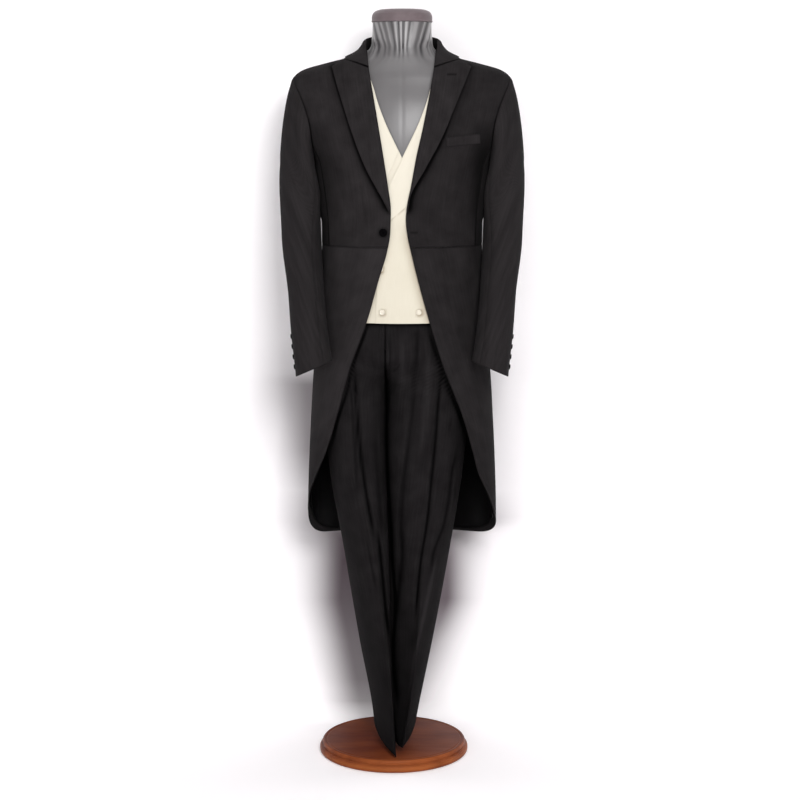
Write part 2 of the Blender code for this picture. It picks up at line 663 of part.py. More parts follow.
def sleeve_surface(turn, t):
    """Sleeve from armhole to cuff: a smooth cap, then level sections."""
    t = np.clip(t, 0.0, 1.0)
    turn = turn + 0 * t
    top, low = armhole(turn), sleeve_ring(turn, SLEEVE_START + 0 * turn)
    top = top + np.array([GAP + 0.0002, 0.0, 0.0])
    upper = 0.5 * (1 + np.cos(turn))[..., None]
    flare = np.array([0.120, 0.0, 0.0]) * upper + np.array([0.004, 0.0, -0.060]) * (1 - upper)
    flare = flare + np.stack([0 * turn, -0.045 * np.sin(turn), -0.085 * upper[..., 0] ** 3], axis=-1)
    step = 0.002
    drop = (sleeve_ring(turn, SLEEVE_START - step + 0 * turn) - low) / step
    drop = drop * (0.09 + 0.22 * upper)
    s = np.clip(t / CAP_SHARE, 0.0, 1.0)[..., None]
    cap = (top * (1 + 2 * s) * (1 - s) ** 2 + flare * s * (1 - s) ** 2
           + low * s ** 2 * (3 - 2 * s) + drop * s ** 2 * (s - 1))
    hem = CUFF_HIGH + (CUFF_LOW - CUFF_HIGH) * (0.5 + 0.5 * np.cos(turn + 0.35))
    share = np.clip((t - CAP_SHARE) / (1 - CAP_SHARE), 0.0, 1.0)
    lower = sleeve_ring(turn, SLEEVE_START + (hem - SLEEVE_START) * share)
    return np.where((t < CAP_SHARE)[..., None], cap, lower)


def sleeve_normal(turn, t):
    a = sleeve_surface(turn + 0.002, t) - sleeve_surface(turn - 0.002, t)
    b = sleeve_surface(turn, t + 0.002) - sleeve_surface(turn, t - 0.002)
    normal = np.cross(a, b)
    return normal / np.linalg.norm(normal, axis=-1, keepdims=True)


def seam_shift(t):
    """The hind seam turns towards the outer side on its way to the cuff."""
    return 0.95 * ease(t, 0.1, 0.8)


def sleeve_turns(stops, t):
    """Places round the sleeve: the armhole's own stops, turned with the seam."""
    stops = np.array(stops)[None, :]
    hind, forearm = ARMHOLE_BACK_STOPS[0], ARMHOLE_FRONT_STOPS[-1]
    weight = np.clip((stops - forearm) / (hind - forearm), 0, 1)
    over = np.clip((forearm + 2 * HALF_TURN - stops) / (forearm + 2 * HALF_TURN - hind), 0, 1)
    return stops + seam_shift(t) * np.where(stops > hind, over, weight)


def make_sleeve(side):
    """Topsleeve and undersleeve, seamed along the forearm and behind."""
    flip = np.array([side, 1.0, 1.0])
    t = np.concatenate([np.linspace(0, CAP_SHARE, 6), np.linspace(CAP_SHARE, 1, 7)[1:]])[:, None]
    front = [2 * HALF_TURN + stop for stop in ARMHOLE_FRONT_STOPS[1:]]
    for name, stops in (("topsleeve", ARMHOLE_BACK_STOPS + front), ("undersleeve", ARMHOLE_UNDER_STOPS)):
        turn = sleeve_turns(stops, t)
        turn[:, 0] += 0.004
        turn[:, -1] -= 0.004
        grid_t = t + 0 * turn
        outer = sleeve_surface(turn, grid_t)
        inner = outer - sleeve_normal(turn, grid_t) * COAT_WALL
        solid(f"coat_{name}_{side_name(side)}", outer * flip, inner * flip, "coat_cloth")


def make_button(name, centre, normal, radius, finish, lift=BUTTON_LIFT):
    """A sewn button with a rounded rim, its back a shank's lift above the cloth."""
    profile = [(0.93, 0.0), (1.0, 0.45), (0.84, 1.0)]
    normal = np.array(normal) / np.linalg.norm(normal)
    side_axis = np.cross(normal, [0.0, 0.0, 1.0])
    side_axis = side_axis / np.linalg.norm(side_axis)
    up_axis = np.cross(side_axis, normal)
    turn = np.linspace(0, 2 * HALF_TURN, 9, endpoint=False)
    round_it = np.cos(turn)[:, None] * side_axis + np.sin(turn)[:, None] * up_axis
    loops = [centre + normal * (lift + h * BUTTON_THICKNESS) + round_it * radius * r
             for r, h in profile]
    tube(name, np.array(loops), finish)


def button_on(name, x, z, depth, radius, finish, back=False, lift=BUTTON_LIFT):
    angle = np.array(front_angle(x, z))
    angle = HALF_TURN - angle if back else angle
    z = np.array(z)
    centre = sunk(coat_surface, angle, z, depth)
    make_button(name, centre, outward(coat_surface, angle, z), radius, finish, lift)


def make_coat_buttons():
    button_on("coat_front_button", -0.0400, 1.1800, 0.0, COAT_BUTTON, "horn_button")
    for side in (-1, 1):
        button_on(f"coat_waist_button_{side_name(side)}", side * 0.0450, WAIST_SEAM + 0.004, 0.0,
                  COAT_BUTTON, "horn_button", back=True)
        for number in range(4):
            t = np.array(0.966 - 0.033 * number)
            turn = ARMHOLE_BACK_STOPS[0] + seam_shift(t) + 0.32
            flip = np.array([side, 1.0, 1.0])
            centre = sleeve_surface(turn, t) * flip
            make_button(f"cuff_button_{side_name(side)}_{number + 1}", centre,
                        sleeve_normal(turn, t) * flip, CUFF_BUTTON, "horn_button",
                        lift=CUFF_BUTTON_LIFT - 0.00015 * number)


def waistcoat_depth(z):
    return curve(UNDER_COAT, "depth", z)


def waistcoat_hem(x_angle):
    return WAISTCOAT_HEM + (WAISTCOAT_SIDE_HEM - WAISTCOAT_HEM) * ease(np.abs(x_angle), 0.75, 1.5)


def arm_angle(z):
    """Angle of the waistcoat's side seam, and of its armhole above the seam."""
    return front_angle(np.where(z < 1.284, 1.0, curve(WAISTCOAT_ARM, "x", z)), z)


def waistcoat_rows(hem):
    """Heights from the hem up, the rows along the armhole shared by all pieces."""
    low = hem + (WAISTCOAT_ARM_ROWS[0] - hem) * np.linspace(0, 1, 5)[:-1, None]
    return np.concatenate([low, np.array(WAISTCOAT_ARM_ROWS)[:, None] + 0 * hem])


def make_waistcoat_front(side):
    """Left front laps over the right, whose edge is sunk beneath it."""
    def edge(z):
        x = curve(WAISTCOAT_EDGE, "over", z) if side > 0 else curve(WAISTCOAT_EDGE, "under", z)
        return front_angle(x, z)

    u = np.array([[0, 0.11, 0.22, 0.32, 0.372, 0.42, 0.53, 0.68, 0.84, 1]])
    z = waistcoat_rows(waistcoat_hem(-0.45 + (QUARTER_TURN + 0.45) * u))
    angle = edge(z) + (arm_angle(z) - SEAM_ANGLE - edge(z)) * u
    depth = waistcoat_depth(z)
    if side < 0:
        lapped = ease(-angle, -0.48, -0.40) * ease(-z, -1.37, -1.345)
        depth = depth + (FINE_WALL + GAP + 0.0006) * lapped
    panel(f"waistcoat_front_{side_name(side)}", mirrored(angle, side), z, "waistcoat_cloth",
          wall=FINE_WALL, depth=depth)


def make_waistcoat_back():
    u = np.linspace(0, 1, 11)[None, :]
    z = waistcoat_rows(WAISTCOAT_SIDE_HEM + 0 * u)
    angle = HALF_TURN + (2 * u - 1) * (arm_angle(z) - SEAM_ANGLE)
    panel("waistcoat_back", angle, z, "waistcoat_cloth", wall=FINE_WALL, depth=waistcoat_depth(z))


def make_waistcoat_lapel(side):
    low = 1.262 if side > 0 else 1.350
    roll_z = np.linspace(low, 1.497, 10)
    roll = [(side * float(curve(WAISTCOAT_EDGE, "over", z)) + side * 0.001, z) for z in roll_z]
    if side > 0:
        edge = [(-0.0385, 1.195), (0.004, 1.231), (0.060, 1.285), (0.092, 1.360), (0.096, 1.440),
                (0.094, 1.497)]
    else:
        edge = [(-0.046, 1.262), (-0.060, 1.285), (-0.092, 1.360), (-0.096, 1.440),
                (-0.094, 1.497)]
    x, z = coons(roll, edge, [roll[0], edge[0]], [roll[-1], edge[-1]], 5, 12)
    angle = front_angle(x, z)
    depth = waistcoat_depth(z) - GAP - 0.0004
    outer = sunk(coat_surface, angle, z, depth - FINE_WALL * 0.8)
    solid(f"waistcoat_lapel_{side_name(side)}", outer, sunk(coat_surface, angle, z, depth),
          "waistcoat_cloth")


def make_waistcoat_buttons():
    rows = [(1.011, -0.0430, 0.0360, 0.0002), (1.103, -0.0465, 0.0400, 0.0005),
            (1.170, -0.0400, 0.0430, 0.0007)]
    for number, (z, right, left, lift) in enumerate(rows, 1):
        for column, x in (("right", right), ("left", left)):
            button_on(f"waistcoat_button_{column}_{number}", x, z, float(waistcoat_depth(z)),
                      WAISTCOAT_BUTTON, "shell_button", lift=lift)


def folds(rows, x, z):
    """Depth of the hanging folds at a place on the trousers."""
    total = 0.0 * x
    for row in rows:
        fold = dict(zip(FOLD_COLUMNS.split(), row))
        share = np.clip((fold["z_top"] - z) / (fold["z_top"] - fold["z_bottom"]), -0.3, 1.3)
        middle = fold["x_top"] + (fold["x_bottom"] - fold["x_top"]) * share
        reach = ease(z, fold["z_bottom"] - FOLD_FADE, fold["z_bottom"] + FOLD_FADE)
        reach = reach * ease(-z, -fold["z_top"] - FOLD_FADE / 2, -fold["z_top"] + FOLD_FADE)
        total = total + fold["depth"] * reach * np.exp(-((x - middle) / fold["width"]) ** 2)
    return total


def divide(y, z):
    """Where the two legs meet: a wavy upright sheet between them."""
    front = curve(LEG_DIVIDE, "x", z) - FLY_X
    seat = (1 - ease(-z, -FORK_TOP, -CROTCH)) * ease(y, 0.0, 0.10)
    return FLY_X + front * ease(-y, 0.0, 0.14) - FLY_X * seat


def leg_surface(side):
    """Trouser leg: angle 0 is the outer side, half a turn the inner side."""
    rows = LEFT_LEG if side > 0 else RIGHT_LEG

    def surface(turn, z):
        front = turn > 0
        share = np.abs(turn) / HALF_TURN
        y_front, y_back = curve(rows, "y_front", z), curve(rows, "y_back", z)
        y = 0.5 * (y_front + y_back) - 0.5 * (y_back - y_front) * np.sin(turn)
        axis = curve(rows, "x_front", z) + (curve(rows, "x_back", z) - curve(rows, "x_front", z)) * (
            (y - y_front) / (y_back - y_front))
        cosine = np.cos(turn)
        lateral = curve(rows, "lateral", z) * np.abs(cosine) ** curve(rows, "crease", z)
        medial = curve(rows, "medial", z) * np.abs(cosine) ** curve(rows, "tuck", z)
        x = axis + side * np.where(cosine > 0, lateral, -medial)
        fly = np.arcsin(np.clip(FLY_X / curve(TROUSER_RING, "half_width", z), -1, 1))
        around = np.where(front, side * QUARTER_TURN + (fly - side * QUARTER_TURN) * share,
                          side * (QUARTER_TURN + QUARTER_TURN * share))
        hips = ring(TROUSER_RING, around, z)
        split = ease(-z, -FORK_TOP, -CROTCH)
        x = hips[..., 0] * (1 - split) + x * split
        y = hips[..., 1] * (1 - split) + y * split
        facing = np.clip(1.3 * np.abs(np.sin(turn)), 0, 1)
        near = ease(-share, -0.97, -0.80)
        dent = np.where(front, folds(FRONT_FOLDS, x, z), -folds(BACK_FOLDS, x, z))
        y = y + dent * facing * near
        clear = SEAT_GAP + (LEG_GAP - SEAT_GAP) * ease(-z, -FORK_TOP - 0.02, -FORK_TOP + 0.02)
        x = side * np.maximum(side * x, side * divide(y, z) + clear)
        return np.stack([x, y, z + 0 * turn], axis=-1)

    return surface


def leg_heights(side, turn, z):
    """Heights of the rows, bent at the hem: low at the crease, high behind."""
    lift = (LEFT_HEM_LIFT if side > 0 else 0.0) + 0.5 * HEM_RISE * (1 - np.sin(turn))
    return z + lift * np.clip((CROTCH - z) / (CROTCH - TROUSER_HEM), 0.0, 1.0)


def make_trouser_leg(side):
    surface = leg_surface(side)
    z = np.concatenate([
        np.linspace(TROUSER_HEM, CROTCH, 12)[:-1], np.linspace(CROTCH, FORK_TOP, 4)[:-1],
        np.linspace(FORK_TOP, WAISTBAND_FOOT - GAP, 3)])[:, None]
    inseam = HALF_TURN - 0.004
    for name, start, end, columns in (("front", 0.004, inseam, 16), ("back", -0.004, -inseam, 10)):
        turn = start + (end - start) * np.linspace(0, 1, columns)[None, :]
        heights = leg_heights(side, turn, z)
        normal = outward(surface, turn, heights)
        middle = surface(turn, heights)
        if side < 0:
            normal = -normal
        solid(f"trouser_{name}_{side_name(side)}", middle, middle - normal * FINE_WALL,
              "trouser_cloth")


def make_waistband():
    fly = math.asin(FLY_X / 0.162)
    turn = np.linspace(fly + 0.002, fly + 2 * HALF_TURN - 0.002, 27)[None, :]
    z = np.array([WAISTBAND_FOOT, TROUSER_TOP])[:, None]
    turn, z = turn + 0 * z, z + 0 * turn

    def surface(a, b):
        return ring(TROUSER_RING, a, b)

    solid("trouser_waistband", surface(turn, z), sunk(surface, turn, z, COAT_WALL), "trouser_cloth")


def make_form():
    z = np.array([FORM_BOTTOM, 0.99, 1.05, 1.085, 1.12, 1.18, 1.26, 1.34, 1.40, 1.45,
                  1.49, 1.510, 1.524, 1.538, 1.553, 1.575, 1.60, NECK_TOP])
    turn = np.linspace(0, 2 * HALF_TURN, 22, endpoint=False)[None, :]
    tube("form_body", ring(FORM, turn + 0 * z[:, None], z[:, None] + 0 * turn), "form_satin")


def turned(name, profile, centre, sides, finish):
    """A solid turned about an upright axis, from (radius, height) rows."""
    turn = np.linspace(0, 2 * HALF_TURN, sides, endpoint=False)
    loops = [np.stack([centre[0] + r * np.cos(turn), centre[1] + r * np.sin(turn), h + 0 * turn], -1)
             for r, h in profile]
    tube(name, np.array(loops), finish)


def make_stand():
    cap_low = NECK_TOP + GAP
    cap = [(0.0645, cap_low), (0.0658, cap_low + 0.004), (0.0650, CAP_TOP - 0.013),
           (0.0600, CAP_TOP - 0.0045), (0.0480, CAP_TOP)]
    turned("form_cap", cap, (0.0, 0.0), 24, "form_cap")
    pole = [(POLE_RADIUS, BASE_HEIGHT + GAP), (POLE_RADIUS, FORM_BOTTOM - GAP)]
    turned("stand_pole", pole, (POLE_X, 0.0), 16, "steel_pole")
    edge = [(0.985, 0.0), (1.0, 0.08), (1.0, 0.38), (0.970, 0.50), (0.950, 0.76), (0.905, 1.0)]
    base = [(BASE_RADIUS * r, BASE_HEIGHT * h) for r, h in edge]
    turned("stand_base", base, (POLE_X, 0.0), 36, "varnished_wood")


def make_suit():
    clear_scene()
    for side in (-1, 1):
        make_forepart(side)
        make_sidebody(side)
        make_back(side)
        make_skirt(side)
        make_lining(side)
        make_lapel(side)
        make_sleeve(side)
        make_waistcoat_front(side)
        make_waistcoat_lapel(side)
        make_trouser_leg(side)
    make_collar()
    make_welt()
    make_coat_buttons()
    make_waistcoat_back()
    make_waistcoat_buttons()
    make_waistband()
    make_form()
    make_stand()


make_suit()
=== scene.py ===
"""A morning suit on a dress form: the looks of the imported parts.

Metres, +Z up. The suit faces -Y and the wearer's left side is +X.
"""

import math

import bpy
import numpy as np
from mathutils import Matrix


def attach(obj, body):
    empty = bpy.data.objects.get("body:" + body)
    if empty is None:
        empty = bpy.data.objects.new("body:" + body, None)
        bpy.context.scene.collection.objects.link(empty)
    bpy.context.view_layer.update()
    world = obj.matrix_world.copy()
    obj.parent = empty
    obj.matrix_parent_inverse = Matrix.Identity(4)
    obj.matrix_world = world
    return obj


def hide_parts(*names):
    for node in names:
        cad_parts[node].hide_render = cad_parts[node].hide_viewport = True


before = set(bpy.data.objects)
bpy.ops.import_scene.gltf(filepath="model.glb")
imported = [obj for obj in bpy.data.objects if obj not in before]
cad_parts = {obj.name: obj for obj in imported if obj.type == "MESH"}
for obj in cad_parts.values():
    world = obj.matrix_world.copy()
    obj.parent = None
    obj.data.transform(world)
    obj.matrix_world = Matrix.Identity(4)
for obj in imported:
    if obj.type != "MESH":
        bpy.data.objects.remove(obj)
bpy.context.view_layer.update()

# Camera
# It stands 4.2 m in front of the suit at chest height and looks a little
# down, with a long lens, so the round base shows as a flat ellipse.
camera = bpy.data.objects.new("camera", bpy.data.cameras.new("camera"))
camera.data.lens = 86.27
camera.data.sensor_width = 36.0
camera.location = (-0.0044, -4.2, 1.43)
camera.rotation_euler = (math.radians(90 - 8.5), 0.0, 0.0)
bpy.context.scene.collection.objects.link(camera)
bpy.context.scene.camera = camera
bpy.context.scene.view_settings.view_transform = "Standard"

# Studio
# White seamless paper, clear from behind, that sweeps from the floor up a wall
# close behind the suit, under two soft boxes at the front and one from above.
FLOOR_Z = -0.0006
SWEEP_Y = 0.215
SWEEP_RADIUS = 0.045
SHADE_LEFT_WIDTH = 0.070
SHADE_RIGHT_WIDTH = 0.050
# Shadow painted on the paper: height, x of its left and right side, depth of both
PAPER_SHADE = np.array([
    (0.002, -0.0950, 0.0250, 0.00, 0.00),
    (0.045, -0.0980, 0.0350, 0.75, 0.35),
    (0.096, -0.1050, 0.0456, 0.90, 0.50),
    (0.194, -0.1230, 0.0700, 0.92, 0.72),
    (0.292, -0.1440, 0.1060, 0.97, 0.95),
    (0.389, -0.1370, 0.1064, 1.00, 0.90),
    (0.449, -0.1400, 0.1130, 0.95, 0.75),
    (0.485, -0.1925, 0.2072, 0.50, 0.45),
    (0.557, -0.2178, 0.2160, 0.20, 0.10),
    (0.652, -0.2171, 0.2154, 0.62, 0.10),
    (0.805, -0.2184, 0.2166, 0.72, 0.15),
    (0.836, -0.2461, 0.2396, 0.25, 0.10),
    (0.911, -0.2559, 0.2482, 0.10, 0.00),
    (1.119, -0.2691, 0.2764, 0.00, 0.00),
    (1.550, -0.1632, 0.1272, 0.00, 0.00),
])


class Wire:
    """A socket in a material's tree; arithmetic on wires adds Math nodes."""

    def __init__(self, tree, socket=None):
        self.tree = tree
        self.socket = socket

    def place(self):
        """Where a point lies, in the piece's own metres."""
        return self.node("ShaderNodeTexCoord", output=3)

    def cut(self):
        """Where a point lies on its cloth as cut, in metres."""
        return self.node("ShaderNodeUVMap", {"uv_map": "cut"})

    def kept(self, name):
        """The number that the mesh keeps at each point under this name."""
        return self.node("ShaderNodeAttribute", {"attribute_name": name}, output=2)

    def node(self, kind, settings=None, values=None, output=0):
        """Add a node: settings first, then values or wires into its sockets."""
        made = self.tree.nodes.new(kind)
        for name, value in (settings or {}).items():
            setattr(made, name, value)
        for name, value in (values or {}).items():
            if isinstance(value, Wire):
                self.tree.links.new(value.socket, made.inputs[name])
            else:
                made.inputs[name].default_value = value
        return Wire(self.tree, made.outputs[output])

    def math(self, operation, *operands):
        values = dict(enumerate(operands))
        return self.node("ShaderNodeMath", {"operation": operation}, values)

    def __add__(self, other):
        return self.math("ADD", self, other)

    def __sub__(self, other):
        return self.math("SUBTRACT", self, other)

    def __rsub__(self, other):
        return self.math("SUBTRACT", other, self)

    def __mul__(self, other):
        return self.math("MULTIPLY", self, other)

    __radd__ = __add__
    __rmul__ = __mul__

    def sine(self):
        return self.math("SINE", self)

    def split(self):
        """The three parts of a vector."""
        parts = self.node("ShaderNodeSeparateXYZ", None, {0: self}).socket.node
        return [Wire(self.tree, socket) for socket in parts.outputs]

    def clamped(self):
        return self.node("ShaderNodeClamp", None, {"Value": self})

    def into(self, shader, name):
        self.tree.links.new(self.socket, shader.inputs[name])

    def blend(self, first, second):
        """Mix of two colours, by this wire."""
        first, second = [c if isinstance(c, Wire) else (*c, 1.0) for c in (first, second)]
        return self.node("ShaderNodeMix", {"data_type": "RGBA"}, {0: self, 6: first, 7: second}, 2)

    def noise(self, vector, scale, detail=3.0, stretch=(1.0, 1.0, 1.0), roughness=0.5):
        """Noise over a vector whose axes are stretched first."""
        moved = self.node("ShaderNodeMapping", None, {"Vector": vector, "Scale": stretch})
        return self.node("ShaderNodeTexNoise", None, {
            "Vector": moved, "Scale": scale, "Detail": detail, "Roughness": roughness})

    def bump(self, shader, strength, distance):
        """Use this wire as a height on the shader's normal."""
        made = self.node("ShaderNodeBump", None, {
            "Height": self, "Strength": strength, "Distance": distance})
        made.into(shader, "Normal")


def new_finish(name, roughness=0.5, **constants):
    """A material, its shader with constants set, and a wire to build on."""
    made = bpy.data.materials.new(name)
    made.use_nodes = True
    shader = made.node_tree.nodes["Principled BSDF"]
    shader.inputs["Roughness"].default_value = roughness
    for socket, value in constants.items():
        shader.inputs[socket.replace("_", " ")].default_value = value
    return made, shader, Wire(made.node_tree)


def keep(mesh, name, values):
    """Store one number at each point of a mesh, for its material to read."""
    layer = mesh.attributes.new(name, "FLOAT", "POINT")
    layer.data.foreach_set("value", np.asarray(values, dtype=np.float32).reshape(-1))


def sweep_profile(count=24):
    """Floor line, quarter circle and wall, as points (y, z)."""
    turn = np.linspace(0, math.pi / 2, count)
    bend_y = SWEEP_Y - SWEEP_RADIUS + SWEEP_RADIUS * np.sin(turn)
    bend_z = FLOOR_Z + SWEEP_RADIUS - SWEEP_RADIUS * np.cos(turn)
    wall_z = np.concatenate([np.linspace(0.06, 1.75, 130), [6.0]])
    y = np.concatenate([[-9.0], bend_y, SWEEP_Y + 0 * wall_z])
    z = np.concatenate([[FLOOR_Z], bend_z, wall_z])
    return y, z


def bell(off, width, power=2):
    """Bell curve: 1 where off is 0, and the less the further off, over width."""
    return np.exp(-(off / width) ** power)


def paper_shade(x, z):
    """Depth of the painted soft shadow, which falls off outwards from each side's x."""
    left, right, left_depth, right_depth = [
        np.interp(z, PAPER_SHADE[:, 0], PAPER_SHADE[:, column]) for column in range(1, 5)]
    beside_left = left_depth * bell(np.maximum(left - x, 0.0), SHADE_LEFT_WIDTH, 1.5) * (x < 0)
    beside_right = right_depth * bell(np.maximum(x - right, 0.0), SHADE_RIGHT_WIDTH, 1.5) * (x >= 0)
    return beside_left + beside_right


sweep_y, sweep_z = sweep_profile()
sweep_x = np.concatenate([[-8.0], np.linspace(-0.60, 0.60, 301), [8.0]])
sweep_points = np.stack(np.broadcast_arrays(sweep_x[None, :], sweep_y[:, None], sweep_z[:, None]), -1)
sweep_index = np.arange(sweep_points[..., 0].size).reshape(sweep_points.shape[:2])
sweep_faces = np.stack([sweep_index[:-1, :-1], sweep_index[:-1, 1:], sweep_index[1:, 1:],
                        sweep_index[1:, :-1]], -1).reshape(-1, 4)
paper_mesh = bpy.data.meshes.new("paper")
paper_mesh.from_pydata(sweep_points.reshape(-1, 3).tolist(), [], sweep_faces.tolist())
sweep_shade = paper_shade(sweep_points[..., 0], sweep_points[..., 2])
# Painted light: the paper glows more near the floor's bend, and less where its shadow is painted.
painted_glow_near_bend = np.interp(sweep_points[..., 2], [0.0, 0.02, 0.08, 0.45], [0.45, 0.7, 1.0, 0.0])
keep(paper_mesh, "shade", sweep_shade)
keep(paper_mesh, "bend", painted_glow_near_bend * (1.0 - 0.8 * sweep_shade))
paper_mesh.shade_smooth()
paper = bpy.data.objects.new("paper", paper_mesh)
bpy.context.scene.collection.objects.link(paper)
paper_finish, paper_shader, paper_wire = new_finish(
    "white_paper", 1.0, Specular_IOR_Level=0.0, Emission_Strength=0.25)
# The paper's colour is painted darker where the soft shadow falls beside the suit.
paper_wire.kept("shade").blend((0.99, 0.965, 0.98), (0.05, 0.02, 0.035)).into(paper_shader, "Base Color")
# The glow near the bend is painted light, added to the paper's faint even glow.
paper_wire.kept("bend").blend((0.16, 0.16, 0.16), (1.0, 1.0, 1.0)).into(paper_shader, "Emission Color")
paper_behind = paper_wire.node("ShaderNodeMixShader", None, {
    0: paper_wire.node("ShaderNodeNewGeometry", output=6), 1: Wire(paper_wire.tree, paper_shader.outputs[0]),
    2: paper_wire.node("ShaderNodeBsdfTransparent")})
paper_behind.into(paper_wire.tree.nodes["Material Output"], "Surface")
paper_mesh.materials.append(paper_finish)

room = bpy.data.worlds.new("white_room")
room.use_nodes = True
room.node_tree.nodes["Background"].inputs["Color"].default_value = (1.0, 1.0, 1.0, 1.0)
room.node_tree.nodes["Background"].inputs["Strength"].default_value = 0.07
bpy.context.scene.world = room


def soft_box(name, place, aim, size, watts):
    """A square area lamp at place that shines towards aim."""
    lamp = bpy.data.objects.new(name, bpy.data.lights.new(name, "AREA"))
    lamp.data.shape = "SQUARE"
    lamp.data.size = size
    lamp.data.energy = watts
    away = np.array(place) - np.array(aim)
    flat = math.hypot(away[0], away[1])
    lamp.location = place
    lamp.rotation_euler = (math.atan2(flat, away[2]), 0.0, math.atan2(away[0], -away[1]))
    bpy.context.scene.collection.objects.link(lamp)


soft_box("soft_box_left", (-1.1, -3.8, 1.7), (0.0, 0.0, 1.0), 2.0, 42.0)
soft_box("soft_box_right", (0.75, -3.9, 2.6), (0.0, 0.0, 1.0), 1.25, 122.0)
soft_box("soft_box_top", (0.0, -0.9, 3.4), (0.0, 0.0, 1.2), 1.2, 12.0)

# Base
# A turned disc of varnished red-brown hardwood with a moulded edge: a small
# round-over at the top, a step, and a full round below it.
POLE_X = -0.0185
BASE_RADIUS = 0.1675
BASE_HEIGHT = 0.0270


def wood_finish():
    """Long grain along X, fine pores in it, darker bands, under clear varnish, with painted light on the
    front and the lower round and painted shade on the top.
    """
    made, shader, wire = new_finish("varnished_wood", 0.42, Specular_IOR_Level=0.05)
    place = wire.place()
    band = wire.noise(place, 14.0, 4.0, (0.6, 1.7, 1.7))
    grain = wire.noise(place, 120.0, 5.0, (0.10, 2.4, 2.4), 0.6)
    pore = wire.noise(place, 700.0, 2.0, (0.06, 1.5, 1.5))
    deep = ((band - 0.36) * 2.6).clamped()
    tone = deep.blend((0.105, 0.020, 0.008), (0.285, 0.076, 0.024))
    tone = ((grain - 0.42) * 1.4).clamped().blend(tone, (0.215, 0.054, 0.018))
    dots = ((pore - 0.58) * 6.0).clamped() * 0.55
    tone = dots.blend(tone, (0.085, 0.022, 0.008))
    _, depth, height = place.split()
    # Painted light: the front of the base, towards the lamps, is drawn lighter and more orange.
    front = ((depth + 0.055) * -9.0 * (band + 0.35)).clamped() * 0.45
    tone = front.blend(tone, (0.350, 0.096, 0.027))
    # A painted highlight along the lower round of the moulded edge.
    bead_highlight = (1.0 - wire.math("ABSOLUTE", height - 0.0085) * 190.0).clamped() * 0.18
    tone = bead_highlight.blend(tone, (0.560, 0.190, 0.052))
    # Painted shade: the top face is drawn darker than the sides.
    top = ((height - 0.0262) * 2500.0).clamped() * 0.45
    top.blend(tone, (0.085, 0.014, 0.007)).into(shader, "Base Color")
    (0.26 + grain * 0.22).into(shader, "Roughness")
    (grain * 0.5 - dots * 0.8).bump(shader, 0.25, 0.0006)
    return made


def put(name, mesh, finish, stands_for):
    """Link a mesh as a piece that rides on the whole and stands for a CAD node.
    """
    mesh.materials.append(finish)
    mesh.shade_smooth()
    mesh.set_sharp_from_angle(angle=math.radians(55))
    piece = bpy.data.objects.new(name, mesh)
    bpy.context.scene.collection.objects.link(piece)
    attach(piece, "root")
    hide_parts(stands_for)
    finish.name.split(".")[0]
    return piece


def loft(name, loops):
    """Mesh through closed loops of points, with an end face on both ends."""
    count, sides = loops.shape[:2]
    index = np.arange(count * sides).reshape(count, sides)
    after = np.roll(index, -1, axis=1)
    quads = np.stack([index[:-1], after[:-1], after[1:], index[1:]], -1).reshape(-1, 4)
    mesh = bpy.data.meshes.new(name)
    faces = quads.tolist() + [index[0][::-1].tolist(), index[-1].tolist()]
    mesh.from_pydata(loops.reshape(-1, 3).tolist(), [], faces)
    return mesh


def turned(name, profile, centre, sides):
    """Loops of a turned shape: radius and height rows round an upright axis."""
    profile = np.array(profile, dtype=float)
    turn = np.linspace(0, 2 * math.pi, sides, endpoint=False)[None, :]
    radius, height = profile[:, :1], profile[:, 1:]
    x = centre[0] + radius * np.cos(turn)
    y = centre[1] + radius * np.sin(turn)
    return loft(name, np.stack([x, y, height + 0 * turn], -1))


def rounded(corners, radius, steps=6):
    """Profile corners, each turned into a short quadratic curve."""
    corners = np.array(corners, dtype=float)
    out = [corners[0]]
    for before, here, after in zip(corners[:-2], corners[1:-1], corners[2:]):
        back, fore = before - here, after - here
        start = here + back * min(0.5, radius / np.linalg.norm(back))
        end = here + fore * min(0.5, radius / np.linalg.norm(fore))
        t = np.linspace(0, 1, steps)[:, None]
        out.extend((1 - t) ** 2 * start + 2 * t * (1 - t) * here + t ** 2 * end)
    out.append(corners[-1])
    return np.array(out)


base_corners = [(0.10, 0.0), (0.985, 0.0), (1.0, 0.12), (1.0, 0.44), (0.978, 0.56), (0.958, 0.58),
                (0.964, 0.66), (0.966, 0.84), (0.948, 1.0), (0.915, 1.0), (0.908, 0.95),
                (0.900, 1.0), (0.10, 1.0)]
base_profile = rounded(np.array(base_corners) * [BASE_RADIUS, BASE_HEIGHT], 0.0018)
put("wooden_base", turned("wooden_base", base_profile, (POLE_X, 0.0), 160), wood_finish(),
    "stand_base")

# Pole
# A brushed steel tube, screwed to the base, that goes up inside the left
# trouser leg into the form; a thin flange covers the screw hole.
POLE_RADIUS = 0.0080
FORM_BOTTOM = 0.925

pole_finish, pole_shader, pole_wire = new_finish("steel_pole", 0.32, Metallic=1.0)
pole_shader.inputs["Base Color"].default_value = (0.46, 0.46, 0.47, 1.0)
pole_place = pole_wire.place()
(0.22 + pole_wire.noise(pole_place, 300.0, 3.0, (1.0, 1.0, 0.02)) * 0.25).into(pole_shader, "Roughness")
pole_profile = [(0.0150, BASE_HEIGHT + 0.0003), (0.0152, BASE_HEIGHT + 0.0012),
                (0.0145, BASE_HEIGHT + 0.0022), (0.0092, BASE_HEIGHT + 0.0026),
                (POLE_RADIUS, BASE_HEIGHT + 0.0034), (POLE_RADIUS, 0.30), (POLE_RADIUS, 0.60),
                (POLE_RADIUS, FORM_BOTTOM - 0.0003)]
put("steel_pole", turned("steel_pole", pole_profile, (POLE_X, 0.0), 40), pole_finish, "stand_pole")

